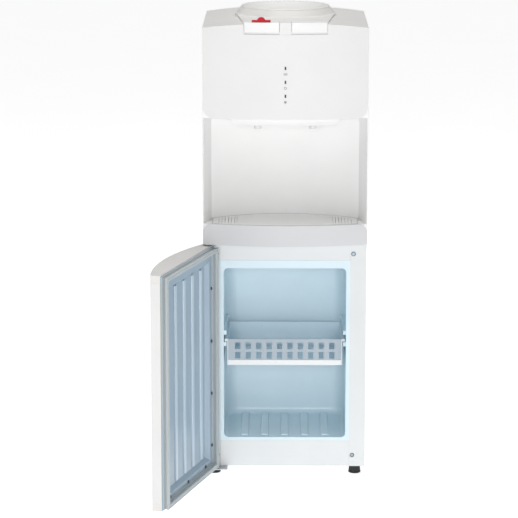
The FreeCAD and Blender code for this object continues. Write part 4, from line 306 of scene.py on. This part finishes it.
def lathe(outline, at, steps, flutes=0, flute_depth=0.0, fluted=(0, 0)):
    """A closed outline of (radius, height) turned about an upright axis, with flutes between two heights."""
    verts, faces = [], []
    count = len(outline)
    for i in range(steps):
        turn = 2 * math.pi * i / steps
        for radius, height in outline:
            if flutes and fluted[0] <= height <= fluted[1]:
                radius -= flute_depth * max(0.0, math.cos(flutes * turn))
            verts.append((at[0] + radius * math.cos(turn), at[1] + radius * math.sin(turn), height))
    for i in range(steps):
        faces += between(i * count, (i + 1) % steps * count, count)
    return verts, faces


def joined(parts):
    """Several (verts, faces) as one."""
    verts, faces = [], []
    for some, corners in parts:
        base = len(verts)
        verts += some
        faces += [tuple(base + corner for corner in face) for face in corners]
    return verts, faces


def ring_run(profile, x, z, face):
    """A closed profile of (inward step, height over the face) run round a rectangle on the shut door."""
    verts, faces = [], []
    count = len(profile)
    corners = ((x[0], z[0], 1, 1), (x[1], z[0], -1, 1), (x[1], z[1], -1, -1), (x[0], z[1], 1, -1))
    for cx, cz, way_x, way_z in corners:
        verts += [(cx + way_x * step, face + height, cz + way_z * step) for step, height in profile]
    for i in range(4):
        faces += between(i * count, (i + 1) % 4 * count, count)
    return verts, faces


def slab(x, y, z, ease):
    """A box whose edges are all eased."""
    shape = bmesh.new()
    bmesh.ops.create_cube(shape, size=1.0)
    for vert in shape.verts:
        for k, (low, high) in enumerate((x, y, z)):
            vert.co[k] = high if vert.co[k] > 0 else low
    bmesh.ops.bevel(shape, geom=list(shape.edges), offset=ease, segments=2, profile=0.5, affect="EDGES")
    shape.verts.index_update()
    verts = [tuple(vert.co) for vert in shape.verts]
    faces = [tuple(vert.index for vert in face.verts) for face in shape.faces]
    shape.free()
    return verts, faces


def hung(shape):
    """A shape of the shut door, turned to where the door stands open."""
    verts, faces = shape
    turn = math.radians(DOOR_OPEN)
    open_cos, open_sin = math.cos(turn), math.sin(turn)
    turned = []
    for x, y, z in verts:
        ahead, across = x - HINGE[0], y - HINGE[1]
        turned.append((HINGE[0] + ahead * open_cos + across * open_sin,
                       HINGE[1] - ahead * open_sin + across * open_cos, z))
    return turned, faces


# the bottle seat: a soft-edged ring with a dished floor and a throat
SEAT_STEPS = 180
SEAT_OUTLINE = (
    (29.0, 863.0), (29.0, 884.9), (29.6, 886.6), (31.4, 887.6), (54.0, 887.6), (58.0, 887.9), (61.5, 889.0),
    (75.6, 896.4), (77.8, 897.7), (79.8, 898.4), (81.4, 898.6), (82.9, 898.3), (84.0, 897.6), (84.7, 896.7),
    (85.0, 895.6), (85.0, 895.1), (79.8, 895.1), (79.6, 892.5), (58.0, 883.6), (31.6, 883.6), (31.5, 863.0),
)
piece("seat_ring", *lathe(SEAT_OUTLINE, SEAT, SEAT_STEPS), "lid_moulding", "cabinet", ("bottle_seat",))


# the cabinet's feet: ribbed rubber over a flat sole
FOOT_STEPS, FLUTES, FLUTE_DEPTH, FLUTED = 144, 24, 0.45, (4.5, 14.5)
FOOT_OUTLINE = (
    (0.4, 0.0), (10.9, 0.0), (11.7, 0.5), (12.0, 1.3), (12.0, 3.2), (11.5, 4.0), (11.35, 4.6), (10.95, 14.4),
    (10.9, 15.2), (11.0, 16.0), (10.8, 17.4), (10.2, 18.3), (9.4, 19.0), (0.4, 19.0),
)
FEET_AT = [(x, y) for x in (-136.0, 136.0) for y in (-96.5, 112.5)]
feet = [lathe(FOOT_OUTLINE, at, FOOT_STEPS, FLUTES, FLUTE_DEPTH, FLUTED) for at in FEET_AT]
piece("ribbed_feet", *joined(feet), "black_rubber", "cabinet", ("feet",))


# the door's magnetic seal: flange, folded bellows and a head with a groove
SEAL_X, SEAL_Z, SEAL_FACE = (-141.0, 150.5), (22.7, 456.3), -132.5
SEAL_PROFILE = (
    (0.0, 0.0), (0.0, 1.2), (0.6, 1.7), (2.4, 1.8), (3.1, 2.6), (2.6, 3.4), (1.6, 4.1), (2.6, 4.8),
    (3.0, 5.3), (1.7, 6.1), (1.3, 6.9), (1.25, 9.9), (1.6, 10.5), (2.2, 10.7), (4.0, 10.7), (4.4, 10.1),
    (4.9, 10.0), (5.3, 10.6), (9.0, 10.7), (9.5, 10.4), (9.75, 9.8), (9.7, 6.9), (9.2, 6.1), (8.0, 5.3),
    (8.4, 4.8), (9.4, 4.1), (8.4, 3.4), (7.9, 2.6), (8.6, 1.8), (10.4, 1.7), (11.0, 1.2), (11.0, 0.0),
)
piece("door_seal", *hung(ring_run(SEAL_PROFILE, SEAL_X, SEAL_Z, SEAL_FACE)), "gasket_grey", "door",
      ("door_gasket",), smooth=50.0)


# soft ribs on the floor of the door liner's dish, lighter in colour as a painted highlight on their edges
DISH_FLOOR, DISH_MIDDLE, DISH_SPAN = -140.5, 9.65, (52.2, 421.6)
DOOR_RIB_PITCH, DOOR_RIB_HALF, DOOR_RIB_EASE = 47.4, 5.5, 1.6
DOOR_RIB_Y = (DISH_FLOOR - 0.6, DISH_FLOOR + 2.8)
door_ribs = []
for i in range(-2, 3):
    middle = DISH_MIDDLE + DOOR_RIB_PITCH * i
    door_ribs.append(slab((middle - DOOR_RIB_HALF, middle + DOOR_RIB_HALF), DOOR_RIB_Y, DISH_SPAN, DOOR_RIB_EASE))
piece("door_liner_ribs", *hung(joined(door_ribs)), "door_liner_blue", "door", look="rib_highlight_blue", smooth=20.0)


# the drip tray's grille: a lens-shaped frame, bars across its middle and slits at its ends
FRONT_ARC, BACK_ARC = (315.5, 481.4), (-263.5, 214.4)  # centre along Y, radius
GRILLE_TIP, GRILLE_HALF = 136.4, 92.0
GRILLE_Z = (499.3, 502.3)
FRAME_WIDTH, FRAME_STEPS = 7.0, 48
BAR_INSET = 6.0  # bars end this far inside the plan, so in the frame
BAR_UNDER, CROSS_UNDER = 0.1, 0.9  # how far the tops lie under the frame's
BARS, BAR_FIRST, BAR_PITCH, BAR_HALF, BAR_EASE = 22, -160.0, 5.0, 1.9, 0.5
BAR_ROOM, BAR_SHORTEST, BAR_STEP = 1.5, 4.0, 2.0
CROSS_BARS, CROSS_FIRST, CROSS_PITCH, CROSS_HALF, CROSS_EASE = 9, -88.0, 22.0, 1.0, 0.2
END_BARS, END_GAP, END_PITCH, END_HALF, END_EASE = 7, 0.5, 6.0, 2.6, 0.4


def lens(step, x):
    """Front and back of the grille's plan, moved in by a step."""
    return (FRONT_ARC[0] - math.sqrt((FRONT_ARC[1] - step) ** 2 - x * x),
            BACK_ARC[0] + math.sqrt((BACK_ARC[1] - step) ** 2 - x * x))


def lens_ring(outer, inner, z):
    """A flat frame between two insets of the plan."""
    verts, faces, loops = [], [], []
    for step in (outer, inner):
        half = GRILLE_TIP - step
        xs = [-half + 2 * half * i / FRAME_STEPS for i in range(FRAME_STEPS + 1)]
        loops.append([(x, lens(step, x)[0]) for x in xs] + [(x, lens(step, x)[1]) for x in reversed(xs)])
    count = len(loops[0])
    for loop, height in ((loops[0], z[0]), (loops[0], z[1]), (loops[1], z[1]), (loops[1], z[0])):
        verts += [(x, y, height) for x, y in loop]
    for row in range(4):
        faces += between(row * count, (row + 1) % 4 * count, count)
    return verts, faces


def bar_reach(y):
    """Half the length at which a bar at y still ends in the frame, or 0 where there is no room."""
    reach = GRILLE_HALF
    while reach > BAR_SHORTEST:
        front, back = lens(BAR_INSET, reach)
        if front < y - BAR_ROOM and y + BAR_ROOM < back:
            return reach
        reach -= BAR_STEP
    return 0.0


def grille_bar(x, half, under, ease):
    """A bar from the front of the frame to its back."""
    return slab((x - half, x + half), lens(BAR_INSET, x), (GRILLE_Z[0], GRILLE_Z[1] - under), ease)


def grille():
    made = [lens_ring(0.0, FRAME_WIDTH, GRILLE_Z)]
    for i in range(BARS):
        y = BAR_FIRST + BAR_PITCH * i
        reach = bar_reach(y)
        if reach:
            made.append(slab((-reach, reach), (y - BAR_HALF, y + BAR_HALF),
                             (GRILLE_Z[0], GRILLE_Z[1] - BAR_UNDER), BAR_EASE))
    for i in range(CROSS_BARS):
        made.append(grille_bar(CROSS_FIRST + CROSS_PITCH * i, CROSS_HALF, CROSS_UNDER, CROSS_EASE))
    for side in (-1, 1):
        for i in range(END_BARS):
            made.append(grille_bar(side * (GRILLE_HALF + END_GAP + END_PITCH * i), END_HALF, BAR_UNDER, END_EASE))
    return joined(made)


piece("grille_top", *grille(), "tray_moulding", "tray_grille", ("tray_grille",))


# the cabinet liner: a cove round the foot of its back wall and soft ribs on its floor
ROOM_HALF, ROOM_BACK, ROOM_FOOT, ROOM_CORNER = 117.0, 58.5, 76.5, 24.0
COVE, COVE_SUNK, COVE_TURN, CORNER_TURN = 12.0, 0.6, 9, 6
RIB_PITCH, RIB_HALF, RIB_EASE = 38.7, 7.6, 2.1
RIB_Y, RIB_Z = (-110.8, 47.4), (76.2, 80.6)


def cove():
    """A concave strip swept along the foot of the back wall and round its two corners."""
    profile = [(-COVE_SUNK, -COVE_SUNK), (COVE, -COVE_SUNK)]
    for turn in range(0, 91, COVE_TURN):
        profile.append((COVE - COVE * math.sin(math.radians(turn)), COVE - COVE * math.cos(math.radians(turn))))
    profile.append((-COVE_SUNK, COVE))
    path = []
    for side in (-1, 1):
        middle = (side * (ROOM_HALF - ROOM_CORNER), ROOM_BACK - ROOM_CORNER)
        turns = range(0, 91, CORNER_TURN) if side < 0 else range(90, -1, -CORNER_TURN)
        path += [(middle, (side * math.cos(math.radians(t)), math.sin(math.radians(t)))) for t in turns]
    verts, faces = [], []
    for middle, way in path:
        for inward, height in profile:
            reach = ROOM_CORNER - inward
            verts.append((middle[0] + way[0] * reach, middle[1] + way[1] * reach, ROOM_FOOT + height))
    count = len(profile)
    for i in range(len(path) - 1):
        faces += between(i * count, (i + 1) * count, count)
    return verts, faces + ends(len(path), count)


piece("liner_cove", *cove(), "liner_blue", "cabinet", smooth=60.0)
ribs = [slab((RIB_PITCH * i - RIB_HALF, RIB_PITCH * i + RIB_HALF), RIB_Y, RIB_Z, RIB_EASE) for i in range(-2, 3)]
piece("liner_ribs", *joined(ribs), "liner_blue", "cabinet", smooth=20.0)


# small raised signs under the lamps: warmth, power and frost
PANEL_FACE, SIGN_PROUD, SIGN_SUNK = -177.5, 0.14, 0.4
WARMTH_AT, POWER_AT, FROST_AT = (0, 788.5), (0, 762.5), (0, 736.3)
WAVE_POINTS, WAVE_SWING, WAVE_HEIGHT = 15, 0.7, 4.8
RING_RADIUS, RING_STEPS = 2.3, 22
FROST_ARM, FROST_WIDTH, TWIG, TWIG_WIDTH, TWIG_ROOT = 2.8, 0.42, 1.1, 0.34, 0.55


def stroke(points, at, width=0.5):
    """A ribbon of a constant width through points on the panel's front."""
    verts, faces = [], []
    for i, (x, z) in enumerate(points):
        before, after = points[max(i - 1, 0)], points[min(i + 1, len(points) - 1)]
        run = math.hypot(after[0] - before[0], after[1] - before[1])
        side = ((before[1] - after[1]) / run * width / 2, (after[0] - before[0]) / run * width / 2)
        for way, y in ((1, PANEL_FACE - SIGN_PROUD), (-1, PANEL_FACE - SIGN_PROUD),
                       (-1, PANEL_FACE + SIGN_SUNK), (1, PANEL_FACE + SIGN_SUNK)):
            verts.append((at[0] + x + way * side[0], y, at[1] + z + way * side[1]))
    for i in range(len(points) - 1):
        faces += between(4 * i, 4 * i + 4, 4)
    return verts, faces + ends(len(points), 4)


def circle_points(radius, start, end):
    turns = [math.radians(start + (end - start) * i / RING_STEPS) for i in range(RING_STEPS + 1)]
    return [(radius * math.cos(turn), radius * math.sin(turn)) for turn in turns]


def signs():
    made = []
    for x in (-2.6, 0.0, 2.6):
        wave = [(x + WAVE_SWING * math.sin(math.pi * i / 5), -WAVE_HEIGHT / 2 + WAVE_HEIGHT * i / (WAVE_POINTS - 1))
                for i in range(WAVE_POINTS)]
        made.append(stroke(wave, WARMTH_AT))
    made.append(stroke(circle_points(RING_RADIUS, -235, 55), POWER_AT))
    made.append(stroke([(0, 0.2), (0, 3.0)], POWER_AT))
    for turn in (30, 90, 150):
        far = (FROST_ARM * math.cos(math.radians(turn)), FROST_ARM * math.sin(math.radians(turn)))
        made.append(stroke([(-far[0], -far[1]), far], FROST_AT, FROST_WIDTH))
        for way in (1, -1):
            root = (way * far[0] * TWIG_ROOT, way * far[1] * TWIG_ROOT)
            for lean in (-45, 45):
                aim = math.radians(turn + (0 if way > 0 else 180) + lean)
                tip = (root[0] + TWIG * math.cos(aim), root[1] + TWIG * math.sin(aim))
                made.append(stroke([root, tip], FROST_AT, TWIG_WIDTH))
    return joined(made)


piece("panel_signs", *signs(), "frame_black", "cabinet", look="mark_grey", smooth=20.0)


# ---------------------------------------------------------------- light, floor and camera, in metres
FLOOR_HALF, FLOOR_ROUGH, FLOOR_GLOW = 12.0, 0.7, 0.72
WORLD_STRENGTH = 0.25
FRONT_WATTS, TOP_WATTS = 54, 42
FOCAL_PIXELS, PICTURE_PIXELS, SENSOR_MM = 2456.7, 518.0, 36.0
CAMERA_AT = (-0.0097, -4.7000, 1.3728)
CAMERA_PITCH, CAMERA_YAW = 11.661, 0.497  # degrees, down and to the left
CAMERA_REACH = 100.0


def soft_light(name, place, look_at, width, height, power):
    data = bpy.data.lights.new(name, "AREA")
    data.shape = "RECTANGLE"
    data.size = width
    data.size_y = height
    data.energy = power
    lamp = bpy.data.objects.new(name, data)
    lamp.location = place
    lamp.rotation_euler = (Vector(look_at) - Vector(place)).to_track_quat("-Z", "Y").to_euler()
    bpy.context.scene.collection.objects.link(lamp)


def floor():
    mesh = bpy.data.meshes.new("floor")
    half = FLOOR_HALF
    mesh.from_pydata([(-half, -half, 0), (half, -half, 0), (half, half, 0), (-half, half, 0)], [], [(0, 1, 2, 3)])
    obj = bpy.data.objects.new("floor", mesh)
    bpy.context.scene.collection.objects.link(obj)
    made, tree, shader = tree_of("pale_floor")
    pale = ramp(tree, noise(tree, 3.0, 3.0), 0.90, 0.93)
    tree.links.new(pale, shader.inputs["Base Color"])
    shader.inputs["Roughness"].default_value = FLOOR_ROUGH
    shader.inputs["Emission Color"].default_value = (1, 1, 1, 1)
    shader.inputs["Emission Strength"].default_value = FLOOR_GLOW
    mesh.materials.append(made)


def surroundings(strength):
    world = bpy.data.worlds.new("studio")
    bpy.context.scene.world = world
    world.use_nodes = True
    world.node_tree.nodes["Background"].inputs["Color"].default_value = (1, 1, 1, 1)
    world.node_tree.nodes["Background"].inputs["Strength"].default_value = strength


def camera():
    data = bpy.data.cameras.new("camera")
    data.sensor_width = SENSOR_MM
    data.lens = FOCAL_PIXELS / PICTURE_PIXELS * data.sensor_width
    data.clip_end = CAMERA_REACH
    obj = bpy.data.objects.new("camera", data)
    obj.location = CAMERA_AT
    obj.rotation_euler = (math.radians(90 - CAMERA_PITCH), 0, math.radians(CAMERA_YAW))
    bpy.context.scene.collection.objects.link(obj)
    bpy.context.scene.camera = obj


bpy.context.scene.view_settings.view_transform = "Standard"
floor()
surroundings(WORLD_STRENGTH)
soft_light("front", (-0.15, -4.4, 1.1), (0, 0, 0.45), 1.4, 1.2, FRONT_WATTS)
soft_light("top", (0.0, 0.0, 3.0), (0, 0, 0.4), 2.0, 2.0, TOP_WATTS)
camera()
